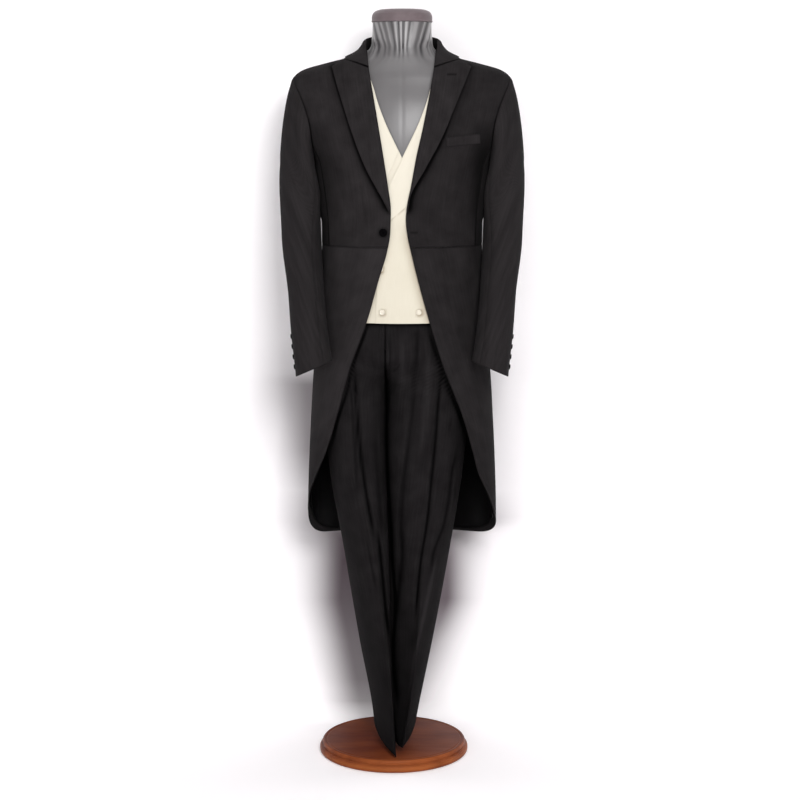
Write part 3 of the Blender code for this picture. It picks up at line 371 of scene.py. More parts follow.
# Form
# A padded torso without arms or head, covered in silver-grey satin. The satin
# is gathered round the neck and seamed down the middle; the cloth hangs on it.


def table(columns, rows):
    """Named columns from rows sorted by the first column."""
    values = np.array(sorted(rows), dtype=float).T
    return dict(zip(columns.split(), values))


def curve(rows, column, where):
    """Smooth curve through a table's column, a cubic between each two rows."""
    key = next(iter(rows))
    knots, values = rows[key], rows[column]
    slopes = np.gradient(values, knots)
    where = np.clip(where, knots[0], knots[-1])
    low = np.clip(np.searchsorted(knots, where) - 1, 0, len(knots) - 2)
    span = knots[low + 1] - knots[low]
    t = (where - knots[low]) / span
    start = values[low] * (1 + 2 * t) * (1 - t) ** 2 + slopes[low] * span * t * (1 - t) ** 2
    end = values[low + 1] * t ** 2 * (3 - 2 * t) + slopes[low + 1] * span * t ** 2 * (t - 1)
    return start + end


def ease(value, start, end):
    """Smooth step from 0 at start to 1 at end."""
    t = np.clip((value - start) / (end - start), 0.0, 1.0)
    return t * t * (3 - 2 * t)


def fade(value, full, none):
    """Smooth step from 1 at full to 0 at none, which is the greater."""
    return ease(-value, -none, -full)


def ring(rows, angle, z):
    """Section of a body at height z: 0 is the front, a quarter turn is +X."""
    power = 2 / curve(rows, "squareness", z) if "squareness" in rows else 1.0
    across = np.sign(np.sin(angle)) * np.abs(np.sin(angle)) ** power
    along = np.sign(np.cos(angle)) * np.abs(np.cos(angle)) ** power
    depth = np.where(along > 0, curve(rows, "front", z), curve(rows, "back", z))
    return np.stack([curve(rows, "half_width", z) * across, -depth * along, z + 0 * angle], axis=-1)


def outward(surface, a, b, step=0.0005):
    """Unit normals of a surface, from small steps in both parameters."""
    along_a = surface(a + step, b) - surface(a - step, b)
    along_b = surface(a, b + step) - surface(a, b - step)
    normal = np.cross(along_a, along_b)
    return normal / np.linalg.norm(normal, axis=-1, keepdims=True)


def sunk(surface, a, b, depth):
    """Points of a surface moved in by depth, or out where it is negative."""
    depth = np.broadcast_to(depth, np.shape(a + b))
    return surface(a, b) - outward(surface, a, b) * depth[..., None]


FORM = table("z half_width front back", [
    (0.885, 0.1450, 0.098, 0.100),
    (0.950, 0.1520, 0.106, 0.110),
    (1.030, 0.1565, 0.1125, 0.1105),
    (1.085, 0.1592, 0.1165, 0.1125),
    (1.148, 0.1545, 0.112, 0.107),
    (1.236, 0.1590, 0.118, 0.114),
    (1.327, 0.1710, 0.123, 0.122),
    (1.400, 0.1810, 0.120, 0.126),
    (1.460, 0.1880, 0.107, 0.119),
    (1.495, 0.1870, 0.094, 0.106),
    (1.513, 0.1865, 0.0885, 0.1005),
    (1.5255, 0.1660, 0.0825, 0.0935),
    (1.5375, 0.1330, 0.0762, 0.0866),
    (1.5490, 0.0990, 0.0705, 0.0795),
    (1.566, 0.0720, 0.066, 0.071),
    (1.590, 0.0650, 0.064, 0.066),
    (1.612, 0.0635, 0.0635, 0.0635),
    (1.632, 0.0635, 0.0635, 0.0635),
])
NECK_TOP = 1.623
CAP_TOP = 1.651
GATHERS_FOOT = 1.540
GATHERS = 21


def neck_gathers(angle, z):
    """Share, 0 to 1, of the satin's gathers, drawn together towards the middle.

    A cosine of the angle, spread more the higher it is, its phase and its
    sharpness varied by slower sines, and faded out at the sides and below.
    """
    near = np.where(np.cos(angle) > 0, angle, math.pi - angle)
    near = (near + math.pi) % (2 * math.pi) - math.pi
    rise = np.clip((z - GATHERS_FOOT) / (NECK_TOP - GATHERS_FOOT), 0.02, 1.0)
    spread = near / (0.38 + 0.62 * rise)
    wave = np.cos(GATHERS * spread + 2.4 * np.sin(2.6 * spread + 0.7) + 0.9 * np.sin(7.3 * spread))
    wave = np.clip(0.5 - 0.5 * wave, 0, 1) ** (1.6 + 0.9 * np.sin(4.7 * spread + 1.0))
    wave = wave * ease(np.abs(np.cos(angle)), 0.08, 0.42)
    return wave * ease(z, 1.535, 1.575) * (0.70 + 0.30 * np.cos(5.0 * spread + 0.4))


def shaded(wire, colour, deep, bright):
    """The colour, drawn to deep where the mesh's painted shade is above 0, and to bright, as painted light,
    below.
    """
    shade = wire.kept("shade")
    colour = shade.clamped().blend(colour, deep)
    return (shade * -1.0).clamped().blend(colour, bright)


def satin_finish():
    """Smooth silver-grey satin: fine warp lines, a soft cloudy sheen."""
    made, shader, wire = new_finish("form_satin", 0.36, Sheen_Weight=0.25, Sheen_Roughness=0.35)
    place = wire.place()
    cloud = wire.noise(place, 18.0, 2.0, (1.0, 1.0, 0.45))
    warp = wire.noise(place, 900.0, 1.0, (1.0, 1.0, 0.05))
    tone = cloud.blend((0.118, 0.112, 0.114), (0.185, 0.177, 0.180))
    shaded(wire, tone, (0.030, 0.028, 0.030), (0.560, 0.545, 0.550)).into(shader, "Base Color")
    (0.30 + cloud * 0.16).into(shader, "Roughness")
    warp.bump(shader, 0.12, 0.0003)
    return made


form_z = np.concatenate([np.linspace(FORM_BOTTOM, 1.545, 60), np.linspace(1.545, NECK_TOP, 50)[1:]])
form_z = form_z[:, None]
form_angle = np.linspace(-math.pi, math.pi, 315, endpoint=False)[None, :]
form_seam = 0.0008 * bell(np.minimum(np.abs(form_angle), math.pi - np.abs(form_angle)), 0.012)
form_depth = 0.0018 * neck_gathers(form_angle, form_z) + form_seam * fade(form_z, 1.55, 1.57)


def form_surface(angle, z):
    """Smooth body of the form before the satin's gathers."""
    return ring(FORM, angle, z)


form_loops = sunk(form_surface, form_angle + 0 * form_z, form_z + 0 * form_angle, form_depth)
form_mesh = loft("form_cover", form_loops)
# Painted shade in the grooves of the gathers and on the body below the neck, and a painted highlight on the
# band just under the cap.
form_shade = 1.35 * neck_gathers(form_angle, form_z) - 0.28 * ease(form_z, 1.560, 1.595)
keep(form_mesh, "shade", form_shade + 0.25 * fade(form_z, 1.520, 1.575))
form_cover = put("form_cover", form_mesh, satin_finish(), "form_body")

# Neck cap
# A low turned cap that closes the neck, covered in mauve-grey cloth with a
# welted edge, pressed down on the gathered satin.


def clouded(name, dark, light, rough, spread, scale, detail=4.0, stretch=(1.0, 1.0, 1.0), **constants):
    """A finish whose colour and roughness follow one soft noise over the piece.

    The colour runs from dark to light, the roughness from rough up by spread.
    """
    made, shader, wire = new_finish(name, rough, **constants)
    cloud = wire.noise(wire.place(), scale, detail, stretch)
    cloud.blend(dark, light).into(shader, "Base Color")
    (rough + cloud * spread).into(shader, "Roughness")
    return made, shader, cloud


cap_finish, cap_shader, cap_cloud = clouded(
    "form_cap", dark=(0.092, 0.066, 0.071), light=(0.155, 0.120, 0.128), rough=0.62, spread=0.25,
    scale=60.0, Sheen_Weight=0.15)
cap_wire = Wire(cap_finish.node_tree)
cap_weave = cap_wire.noise(cap_wire.place(), 1500.0, 2.0)
(cap_weave * 0.6 + cap_cloud * 0.6).bump(cap_shader, 0.35, 0.0005)
cap_low = NECK_TOP + 0.0003
cap_profile = rounded([(0.020, cap_low), (0.0640, cap_low), (0.0662, cap_low + 0.0016),
                       (0.0650, cap_low + 0.0036), (0.0652, CAP_TOP - 0.0130),
                       (0.0600, CAP_TOP - 0.0045), (0.0480, CAP_TOP), (0.020, CAP_TOP)], 0.0050)
put("neck_cap", turned("neck_cap", cap_profile, (0.0, 0.0), 96), cap_finish, "form_cap")

# Trousers
# Two legs of black worsted, each a front and a back sewn along the outside and
# the inside leg. They hang empty, so they taper and fold to a point.
HANDS = ((-1, "right"), (1, "left"))
FINE_WALL = 0.0015
COAT_WALL = 0.0020
FOLDED_WALL = 0.0012
TROUSER_TOP = 1.104
WAISTBAND_FOOT = 1.066
CROTCH = 0.815
FORK_TOP = 0.915
TROUSER_HEM = 0.034
HEM_RISE = 0.031
LEFT_HEM_LIFT = 0.016
INNER_HEM_DROP = 0.012
FLY_X = -0.0355
LEG_GAP = 0.0006
SEAM_DIP = 0.0007
SEAM_WIDTH = 0.0026
RIM_HEIGHT = 0.0003
RIM_WIDTH = 0.0035
RIM_ROUNDING = 0.00014
SEAT_GAP = 0.0004
TROUSER_RING = table("z half_width front back", [
    (0.800, 0.1700, 0.126, 0.128),
    (0.900, 0.1700, 0.126, 0.128),
    (0.980, 0.1670, 0.124, 0.124),
    (1.050, 0.1640, 0.121, 0.119),
    (1.110, 0.1620, 0.119, 0.114),
])
RIGHT_LEG = table("z x_front x_back lateral medial y_front y_back crease tuck", [
    (0.030, -0.0135, -0.0590, 0.0175, 0.0100, -0.150, 0.088, 1.6, 1.6),
    (0.075, -0.0165, -0.0600, 0.0205, 0.0110, -0.149, 0.088, 1.6, 1.6),
    (0.260, -0.0300, -0.0700, 0.0430, 0.0190, -0.140, 0.085, 1.4, 1.2),
    (0.483, -0.0700, -0.0880, 0.0520, 0.0580, -0.130, 0.078, 1.2, 0.8),
    (0.670, -0.1000, -0.1000, 0.0625, 0.0700, -0.119, 0.092, 1.0, 0.6),
    (0.830, -0.1000, -0.1000, 0.0600, 0.0700, -0.115, 0.110, 1.0, 0.6),
    (1.110, -0.1000, -0.1000, 0.0600, 0.0700, -0.115, 0.110, 1.0, 0.6),
])
LEFT_LEG = table("z x_front x_back lateral medial y_front y_back crease tuck", [
    (0.030, -0.0020, 0.0250, 0.0120, 0.0520, -0.134, 0.088, 1.6, 3.2),
    (0.075, 0.0060, 0.0270, 0.0150, 0.0560, -0.134, 0.088, 1.6, 3.2),
    (0.260, 0.0300, 0.0350, 0.0350, 0.0730, -0.135, 0.085, 1.4, 3.0),
    (0.483, 0.0450, 0.0420, 0.0640, 0.0785, -0.128, 0.078, 1.2, 1.1),
    (0.670, 0.0500, 0.0500, 0.0870, 0.0890, -0.119, 0.092, 1.0, 0.6),
    (0.830, 0.0550, 0.0550, 0.0950, 0.0950, -0.115, 0.110, 1.0, 0.6),
    (1.110, 0.0550, 0.0550, 0.0950, 0.0950, -0.115, 0.110, 1.0, 0.6),
])
LEG_DIVIDE = table("z x", [
    (0.030, -0.0040),
    (0.130, -0.0103),
    (0.260, -0.0187),
    (0.483, -0.0265),
    (0.670, -0.0315),
    (0.820, -0.0350),
    (0.900, -0.0355),
    (0.960, -0.0355),
    (1.110, -0.0355),
])
# A fold: its depth, half width, shade painted along it (below 0, light painted on a ridge), and its way down
# the cloth as (x, z)
FRONT_FOLDS = [
    (0.0050, 0.0065, 0.85, [(-0.1011, 0.884), (-0.0998, 0.834), (-0.0967, 0.783), (-0.0905, 0.712),
                             (-0.0827, 0.648), (-0.0731, 0.589), (-0.0602, 0.518)]),
    (0.0020, 0.0050, 0.40, [(-0.1126, 0.854), (-0.1078, 0.808), (-0.1048, 0.745),
                             (-0.1003, 0.679), (-0.0973, 0.620)]),
    (0.0020, 0.0050, 0.40, [(-0.0776, 0.524), (-0.0677, 0.467), (-0.0542, 0.396)]),
    (0.0060, 0.0075, 0.90, [(-0.0340, 0.893), (-0.0326, 0.784), (-0.0341, 0.745), (-0.0327, 0.679),
                             (-0.0295, 0.615), (-0.0263, 0.567), (-0.0231, 0.504)]),
    (0.0010, 0.0026, 0.50, [(-0.0371, 0.972), (-0.0368, 0.886), (-0.0362, 0.797)]),
    (0.0010, 0.0026, 0.50, [(-0.0260, 0.972), (-0.0261, 0.886), (-0.0270, 0.797)]),
    (0.0030, 0.0090, 0.35, [(-0.0598, 0.745), (-0.0552, 0.679), (-0.0505, 0.615), (-0.0424, 0.507)]),
    (0.0050, 0.0070, 0.85, [(-0.0539, 0.536), (-0.0473, 0.484), (-0.0406, 0.413),
                             (-0.0337, 0.341), (-0.0270, 0.292)]),
    (0.0050, 0.0070, 1.00, [(-0.0233, 0.536), (-0.0218, 0.467), (-0.0166, 0.396), (-0.0149, 0.340),
                             (-0.0195, 0.256), (-0.0174, 0.203), (-0.0099, 0.137)]),
    (0.0030, 0.0100, 0.60, [(0.0004, 0.536), (0.0004, 0.467), (-0.0064, 0.396), (-0.0116, 0.340)]),
    (0.0040, 0.0090, 0.45, [(0.0330, 0.977), (0.0316, 0.925), (0.0269, 0.867), (0.0238, 0.808),
                             (0.0174, 0.745), (0.0077, 0.679), (0.0012, 0.615), (-0.0035, 0.504)]),
    (0.0050, 0.0060, 0.80, [(0.0828, 0.897), (0.0813, 0.847), (0.0767, 0.795), (0.0736, 0.745),
                             (0.0642, 0.646), (0.0546, 0.551), (0.0411, 0.467), (0.0295, 0.340)]),
    (0.0040, 0.0070, 0.60, [(0.1203, 0.705), (0.1110, 0.666), (0.0999, 0.582),
                             (0.0888, 0.533), (0.0717, 0.491), (0.0616, 0.431)]),
    (0.0020, 0.0050, 0.30, [(0.1073, 0.780), (0.1042, 0.762), (0.1010, 0.745)]),
    (-0.0030, 0.0100, -0.20, [(-0.0001, 0.957), (-0.0001, 0.886), (-0.0023, 0.828)]),
    (-0.0030, 0.0110, -0.20, [(0.0577, 0.925), (0.0536, 0.821), (0.0409, 0.699)]),
    (-0.0040, 0.0090, -0.30, [(0.0718, 0.467), (0.0550, 0.379), (0.0398, 0.308),
                             (0.0278, 0.256), (0.0211, 0.203), (0.0141, 0.156)]),
    # The last three rows have no depth: the first two are shadows of the coat's front edges painted on the
    # trousers, the third a short dark mark.
    (0.0000, 0.0055, 0.90, [(-0.0663, 0.998), (-0.0868, 0.944), (-0.1062, 0.890),
                             (-0.1193, 0.834), (-0.1368, 0.780), (-0.1544, 0.710)]),
    (0.0000, 0.0080, 0.90, [(0.0533, 0.981), (0.0684, 0.931), (0.0878, 0.873),
                             (0.1052, 0.828), (0.1248, 0.780), (0.1401, 0.729)]),
    (0.0000, 0.0025, 0.60, [(-0.0020, 0.897), (-0.0117, 0.887), (-0.0211, 0.877)]),
]
BACK_FOLDS = [
    (-0.0060, 0.0200, 0.30, [(-0.1000, 0.880), (-0.0640, 0.300)]),
    (-0.0060, 0.0200, 0.30, [(0.0700, 0.900), (0.0400, 0.300)]),
]


def folds(rows, x, z, part=0, spread=1.0):
    """Sum of the hanging folds' depths (part 0) or of their painted shades (part 2).

    Each is a bell curve across a smooth line, faded out at both its ends.
    """
    total = 0.0 * x
    for fold in rows:
        way = table("z x", [(height, place) for place, height in fold[3]])
        low, high = way["z"][0], way["z"][-1]
        soft = min(0.045, 0.4 * (high - low))
        reach = ease(z, low - soft / 2, low + soft) * fade(z, high - soft, high + soft / 2)
        off = x - curve(way, "x", z)
        total = total + fold[part] * reach * bell(off, fold[1] * spread)
    return total


def divide(y, z):
    """Where the two legs meet: a wavy upright sheet between them."""
    front = curve(LEG_DIVIDE, "x", z) - FLY_X
    seat = (1 - fade(z, CROTCH, FORK_TOP)) * ease(y, 0.0, 0.10)
    return FLY_X + front * ease(-y, 0.0, 0.14) - FLY_X * seat


def leg_surface(side):
    """Trouser leg: turn 0 is the outer side, half a turn the inner side.

    A cosine and a sine with powers that sharpen the creases, blended at the
    fork into the round hips, then dented by the folds and kept on its side.
    """
    rows = LEFT_LEG if side > 0 else RIGHT_LEG

    def surface(turn, z):
        front = turn > 0
        share = np.abs(turn) / math.pi
        y_front, y_back = curve(rows, "y_front", z), curve(rows, "y_back", z)
        y = 0.5 * (y_front + y_back) - 0.5 * (y_back - y_front) * np.sin(turn)
        slope = curve(rows, "x_back", z) - curve(rows, "x_front", z)
        axis = curve(rows, "x_front", z) + slope * (y - y_front) / (y_back - y_front)
        cosine = np.cos(turn)
        lateral = curve(rows, "lateral", z) * np.abs(cosine) ** curve(rows, "crease", z)
        medial = curve(rows, "medial", z) * np.abs(cosine) ** curve(rows, "tuck", z)
        x = axis + side * np.where(cosine > 0, lateral, -medial)
        fly = np.arcsin(np.clip(FLY_X / curve(TROUSER_RING, "half_width", z), -1, 1))
        quarter = math.pi / 2
        around = np.where(front, side * quarter + (fly - side * quarter) * share,
                          side * (quarter + quarter * share))
        hips = ring(TROUSER_RING, around, z)
        split = fade(z, CROTCH, FORK_TOP)
        x = hips[..., 0] * (1 - split) + x * split
        y = hips[..., 1] * (1 - split) + y * split
        facing = np.clip(1.3 * np.abs(np.sin(turn)), 0, 1) * fade(share, 0.80, 0.97)
        dent = np.where(front, folds(FRONT_FOLDS, x, z), folds(BACK_FOLDS, x, z))
        y = y + dent * facing
        clear = SEAT_GAP + (LEG_GAP - SEAT_GAP) * fade(z, FORK_TOP - 0.02, FORK_TOP + 0.02)
        x = side * np.maximum(side * x, side * divide(y, z) + clear)
        return np.stack([x, y, z + 0 * turn], axis=-1)

    return surface


def crowded(count, edge=0.012):
    """Shares from 0 to 1 with a few set close together at both ends."""
    tight = np.array([0.0, 0.15, 0.35, 0.6, 1.0]) * edge
    middle = np.linspace(edge, 1 - edge, count - 8)[1:-1]
    return np.concatenate([tight, middle, 1 - tight[::-1]])


def reaches(points):
    """Distances along the cloth: across each row, and up each column."""
    across = np.linalg.norm(np.diff(points, axis=1), axis=-1)
    along = np.linalg.norm(np.diff(points, axis=0), axis=-1)
    u = np.concatenate([np.zeros((points.shape[0], 1)), np.cumsum(across, axis=1)], axis=1)
    v = np.concatenate([np.zeros((1, points.shape[1])), np.cumsum(along, axis=0)], axis=0)
    return u, v


UPRIGHT = np.array([0.0, 0.0, 1.0])


def grid_normals(points, away_from):
    """Unit normals of a grid of points, turned away from the given points."""
    normal = np.cross(np.gradient(points, axis=1), np.gradient(points, axis=0))
    normal = normal / np.maximum(np.linalg.norm(normal, axis=-1, keepdims=True), 1e-12)
    if np.sum(normal * (points - away_from)) < 0:
        normal = -normal
    return normal


def edge_form(u, v, sewn):
    """Relief and shade near the edges L, R, B and T of a cloth.

    A bell curve of the distance to each edge: a sewn one dips and takes a line of painted shade, a free one
    stands a little proud just inside its rim, with a thinner line of painted shade.
    """
    dip, rim, lines = 0 * u, 0 * u, []
    for edge, gap in {"L": u, "R": u[:, -1:] - u, "B": v, "T": v[-1:, :] - v}.items():
        if edge in sewn:
            dip = dip + bell(gap, SEAM_WIDTH)
            lines.append(0.45 * bell(gap, 0.0016))
        else:
            rim = rim + bell(gap - RIM_WIDTH, RIM_WIDTH)
            lines.append(0.35 * bell(gap, 0.0013))
    relief = RIM_HEIGHT * np.clip(rim, 0, 1) - SEAM_DIP * np.clip(dip, 0, 1)
    return relief, np.max(lines, axis=0)


def store_cut(mesh, reach):
    """Keep each point's place on the flat cloth, in metres, as the UV map."""
    layer = mesh.uv_layers.new(name="cut")
    corners = np.empty(len(mesh.loops), dtype=np.int32)
    mesh.loops.foreach_get("vertex_index", corners)
    layer.data.foreach_set("uv", reach[corners].astype(np.float32).reshape(-1))


def cloth(name, points, wall, finish, stands_for, away_from=None, sewn="", relief=0.0, shade=0.0):
    """A closed thin shell of cloth with a round edge, its cut kept as a UV map.

    Its outer side faces away from the given points, or from the upright axis.
    The outer grid is lifted by relief, the inner one lies a wall's thickness
    behind it, and a middle line pushed out by a little rounds the rim.
    """
    u, v = reaches(points)
    away_from = points * UPRIGHT if away_from is None else away_from
    normal = grid_normals(points, away_from)
    edge_relief, edge_shade = edge_form(u, v, sewn)
    outer = points + normal * (relief + edge_relief)[..., None]
    normal = grid_normals(outer, away_from)
    inner = outer - normal * wall
    rows, columns = u.shape
    index = np.arange(rows * columns).reshape(rows, columns)
    rim = np.concatenate([index[0, :], index[1:, -1], index[-1, -2::-1], index[-2:0:-1, 0]])
    flat_outer, flat_inner = outer.reshape(-1, 3), inner.reshape(-1, 3)
    within = np.clip(np.arange(rows), 1, rows - 2)[:, None] * columns
    within = (within + np.clip(np.arange(columns), 1, columns - 2)[None, :]).reshape(-1)
    push = flat_outer[rim] - flat_outer[within[rim]]
    push = push / np.maximum(np.linalg.norm(push, axis=-1, keepdims=True), 1e-9)
    middle = 0.5 * (flat_outer[rim] + flat_inner[rim]) + push * min(RIM_ROUNDING, wall * 0.1)
    under, side = index + rows * columns, 2 * rows * columns + np.arange(len(rim))
    front = np.stack([index[:-1, :-1], index[:-1, 1:], index[1:, 1:], index[1:, :-1]], -1)
    back = np.stack([under[:-1, :-1], under[1:, :-1], under[1:, 1:], under[:-1, 1:]], -1)
    after_rim, after_side = np.roll(rim, -1), np.roll(side, -1)
    edge_a = np.stack([rim, side, after_side, after_rim], -1)
    edge_b = np.stack([side, rim + rows * columns, after_rim + rows * columns, after_side], -1)
    faces = np.concatenate([front.reshape(-1, 4), back.reshape(-1, 4), edge_a, edge_b])
    vertices = np.concatenate([flat_outer, flat_inner, middle])
    corner = flat_outer[index[0, 0]], flat_outer[index[0, 1]], flat_outer[index[1, 0]]
    facing = np.cross(corner[1] - corner[0], corner[2] - corner[0])
    if np.dot(facing, normal[0, 0]) < 0:
        faces = faces[:, ::-1]
    mesh = bpy.data.meshes.new(name)
    mesh.from_pydata(vertices.tolist(), [], faces.tolist())
    reach = np.stack([u.reshape(-1), v.reshape(-1)], -1)
    store_cut(mesh, np.concatenate([reach, reach, reach[rim]]))
    edge_shade_share = 0.2 if "waistcoat" in name else 0.4 if "sleeve" in name else 1.0
    tone = np.clip(shade + edge_shade_share * edge_shade, -1.0, 1.0).reshape(-1)
    keep(mesh, "shade", np.concatenate([tone, tone, tone[rim]]))
    piece = put(name, mesh, finish, stands_for)
    area = 0.25 * np.sum((u[1:, 1:] - u[1:, :-1] + u[:-1, 1:] - u[:-1, :-1])
                         * (v[1:, 1:] - v[:-1, 1:] + v[1:, :-1] - v[:-1, :-1]))
    width, length = float(u[:, -1].max()), float(v[-1, :].max())
    area = float(min(area, width * length))
    return piece


def worsted_finish(name, dark, light, streak, sheen, twill=2300.0, bump=0.22):
    """Worsted wool: a fine diagonal twill, long soft streaks and faint nap."""
    made, shader, wire = new_finish(name, 0.85, Sheen_Weight=sheen, Sheen_Roughness=0.55)
    shader.inputs["Specular IOR Level"].default_value = 0.03
    cut = wire.cut()
    across, along, _ = cut.split()
    ribs = ((across + along * 0.7) * twill).sine() * 0.5 + 0.5
    long_streak = wire.noise(cut, 260.0, 3.0, (1.0, 0.045, 1.0), 0.6)
    nap = wire.noise(cut, 1400.0, 3.0, (1.0, 0.5, 1.0), 0.6)
    cloud = wire.noise(cut, 22.0, 3.0)
    tone = ((long_streak - 0.5) * streak + (cloud - 0.5) * 1.1 + (nap - 0.5) * 0.7 + ribs * 0.16 + 0.42)
    tone = tone.clamped().blend(dark, light)
    deep, bright = [0.08 * part for part in dark], [2.4 * part for part in light]
    shaded(wire, tone, deep, bright).into(shader, "Base Color")
    (0.74 + cloud * 0.16 + nap * 0.08).into(shader, "Roughness")
    (ribs * 0.7 + nap * 0.8 + long_streak * 0.5).bump(shader, bump, 0.0004)
    return made


trouser_cloth = worsted_finish("trouser_cloth", (0.0050, 0.0044, 0.0047), (0.0158, 0.0144, 0.0150), 0.8, 0.0)


def leg_heights(side, turn, z):
    """Heights of the rows, bent at the hem: low at the crease, high behind."""
    lift = (LEFT_HEM_LIFT if side > 0 else 0.0) + 0.5 * HEM_RISE * (1 - np.sin(turn))
    lift = lift - INNER_HEM_DROP * np.clip(-np.cos(turn), 0.0, 1.0) ** 0.7
    return z + lift * np.clip((CROTCH - z) / (CROTCH - TROUSER_HEM), 0.0, 1.0)


def make_leg(side, word):
    """One leg: front from the side seam to the fly, back to the seat seam."""
    surface = leg_surface(side)
    z = TROUSER_HEM + (WAISTBAND_FOOT - 0.0003 - TROUSER_HEM) * crowded(130, 0.006)[:, None]
    inseam = math.pi - 0.004
    for name, start, end, columns in (("front", 0.004, inseam, 104), ("back", -0.004, -inseam, 60)):
        turn = start + (end - start) * crowded(columns)[None, :]
        points = surface(turn + 0 * z, leg_heights(side, turn, z))
        outer_side, inner_side = np.zeros((1, 1)), np.full((1, 1), math.pi - 0.01)
        axis = 0.5 * surface(outer_side + 0 * z, z) + 0.5 * surface(inner_side + 0 * z, z)
        x, height = points[..., 0], points[..., 2]
        rows = FRONT_FOLDS if name == "front" else BACK_FOLDS
        # Painted shade in the folds, painted light on their ridges, a painted shadow under the waistcoat's
        # hem, and the cloth drawn darker towards the trousers' hem.
        shade = 1.25 * folds(rows, x, height, 2, 0.55) + 0.9 * ease(height, 0.977, 0.985)
        shade = shade + 0.28 * fade(height, 0.15, 0.45)
        cloth(f"trouser_{name}_{word}_cloth", points, FINE_WALL, trouser_cloth,
              f"trouser_{name}_{word}", axis, sewn="LRT", shade=shade)


for hand, hand_word in HANDS:
    make_leg(hand, hand_word)

# Waistband
# A straight band of the same cloth, doubled, round the top of the trousers
# and closed over the fly; the waistcoat covers it.
band_start = math.asin(FLY_X / 0.162)
band_turn = (band_start + 0.002 + (2 * math.pi - 0.004) * crowded(160, 0.006))[None, :]
band_z = (WAISTBAND_FOOT + (TROUSER_TOP - WAISTBAND_FOOT) * crowded(20, 0.1))[:, None]
band_points = ring(TROUSER_RING, band_turn + 0 * band_z, band_z + 0 * band_turn)
cloth("trouser_waistband_cloth", band_points, COAT_WALL, trouser_cloth, "trouser_waistband",
      sewn="B")

# Waistcoat
# Double-breasted, of fine cream wool: the left front laps over the right, both
# with a turned lapel, joined to one back at the shoulders and sides.
WAISTCOAT_HEM = 0.987
WAISTCOAT_SIDE_HEM = 1.015
GAP = 0.0003
COAT = table("z half_width front back squareness", [
    (0.490, 0.2110, 0.148, 0.160, 2.00),
    (0.600, 0.2090, 0.148, 0.158, 2.00),
    (0.760, 0.2020, 0.147, 0.152, 2.00),
    (0.880, 0.1945, 0.145, 0.147, 2.00),
    (0.970, 0.1865, 0.142, 0.142, 2.00),
    (1.050, 0.1800, 0.137, 0.135, 2.05),
    (1.148, 0.1750, 0.131, 0.127, 2.15),
    (1.236, 0.1770, 0.133, 0.130, 2.25),
    (1.288, 0.1825, 0.136, 0.134, 2.30),
    (1.327, 0.1890, 0.138, 0.138, 2.30),
    (1.380, 0.2130, 0.136, 0.142, 2.30),
    (1.434, 0.2310, 0.128, 0.140, 2.30),
    (1.470, 0.2360, 0.118, 0.133, 2.30),
    (1.500, 0.2355, 0.106, 0.120, 2.25),
    (1.513, 0.2290, 0.099, 0.112, 2.20),
    (1.525, 0.2085, 0.091, 0.103, 2.15),
    (1.538, 0.1620, 0.084, 0.095, 2.10),
    (1.550, 0.1160, 0.079, 0.088, 2.05),
    (1.562, 0.0920, 0.075, 0.083, 2.00),
    (1.576, 0.0830, 0.072, 0.079, 2.00),
    (1.590, 0.0775, 0.070, 0.076, 2.00),
    (1.610, 0.0750, 0.068, 0.074, 2.00),
])
UNDER_COAT = table("z depth", [
    (0.980, 0.0055),
    (1.480, 0.0055),
    (1.500, 0.0054),
    (1.535, 0.0037),
    (1.560, 0.0034),
])
WAISTCOAT_EDGE = table("z over under", [
    (0.986, -0.0590, -0.0560),
    (1.100, -0.0530, -0.0500),
    (1.200, -0.0450, -0.0420),
    (1.262, -0.0340, -0.0340),
    (1.337, 0.0000, 0.0000),
    (1.420, 0.0390, 0.0390),
    (1.462, 0.0540, 0.0540),
    (1.485, 0.0605, 0.0605),
    (1.510, 0.0690, 0.0690),
    (1.540, 0.0740, 0.0740),
    (1.570, 0.0770, 0.0770),
])
FRONT_EDGE = table("z right left", [
    (0.530, -0.2100, 0.2100),
    (0.565, -0.2095, 0.2020),
    (0.603, -0.2040, 0.1890),
    (0.649, -0.1875, 0.1690),
    (0.702, -0.1660, 0.1550),
    (0.776, -0.1440, 0.1340),
    (0.890, -0.1120, 0.0900),
    (0.995, -0.0740, 0.0572),
    (1.076, -0.0510, 0.0346),
    (1.137, -0.0325, 0.0195),
    (1.171, -0.0259, 0.0118),
    (1.205, -0.0242, 0.0080),
    (1.233, -0.0240, 0.0100),
    (1.279, -0.0300, 0.0190),
    (1.342, -0.0397, 0.0305),
    (1.402, -0.0495, 0.0442),
    (1.464, -0.0600, 0.0565),
    (1.530, -0.0710, 0.0680),
    (1.570, -0.0755, 0.0735),
    (1.590, -0.0770, 0.0760),
])
WAISTCOAT_ARM = table("z x", [
    (1.285, 0.1820),
    (1.300, 0.1740),
    (1.330, 0.1600),
    (1.390, 0.1440),
    (1.450, 0.1360),
    (1.530, 0.1400),
    (1.600, 0.1500),
])
WAISTCOAT_ROWS = [1.240, 1.270, 1.285, 1.305, 1.335, 1.380, 1.430, 1.480, 1.510, 1.528,
                  1.537, 1.5425, 1.548, 1.557]
# A row of buttons: height, x of the right and of the left one, lift off the cloth
WAISTCOAT_BUTTONS = [
    (1.011, -0.0430, 0.0360, 0.0002),
    (1.103, -0.0465, 0.0400, 0.0005),
    (1.170, -0.0400, 0.0430, 0.0007),
]
# The lapped front's upper edge crosses the opening: x, height and slope
LAP_CROSSING = (-0.0222, 1.2085, 0.83)


def coat_surface(angle, z):
    """Outer side of the coat's body, a squared ellipse at each height."""
    return ring(COAT, angle, z)


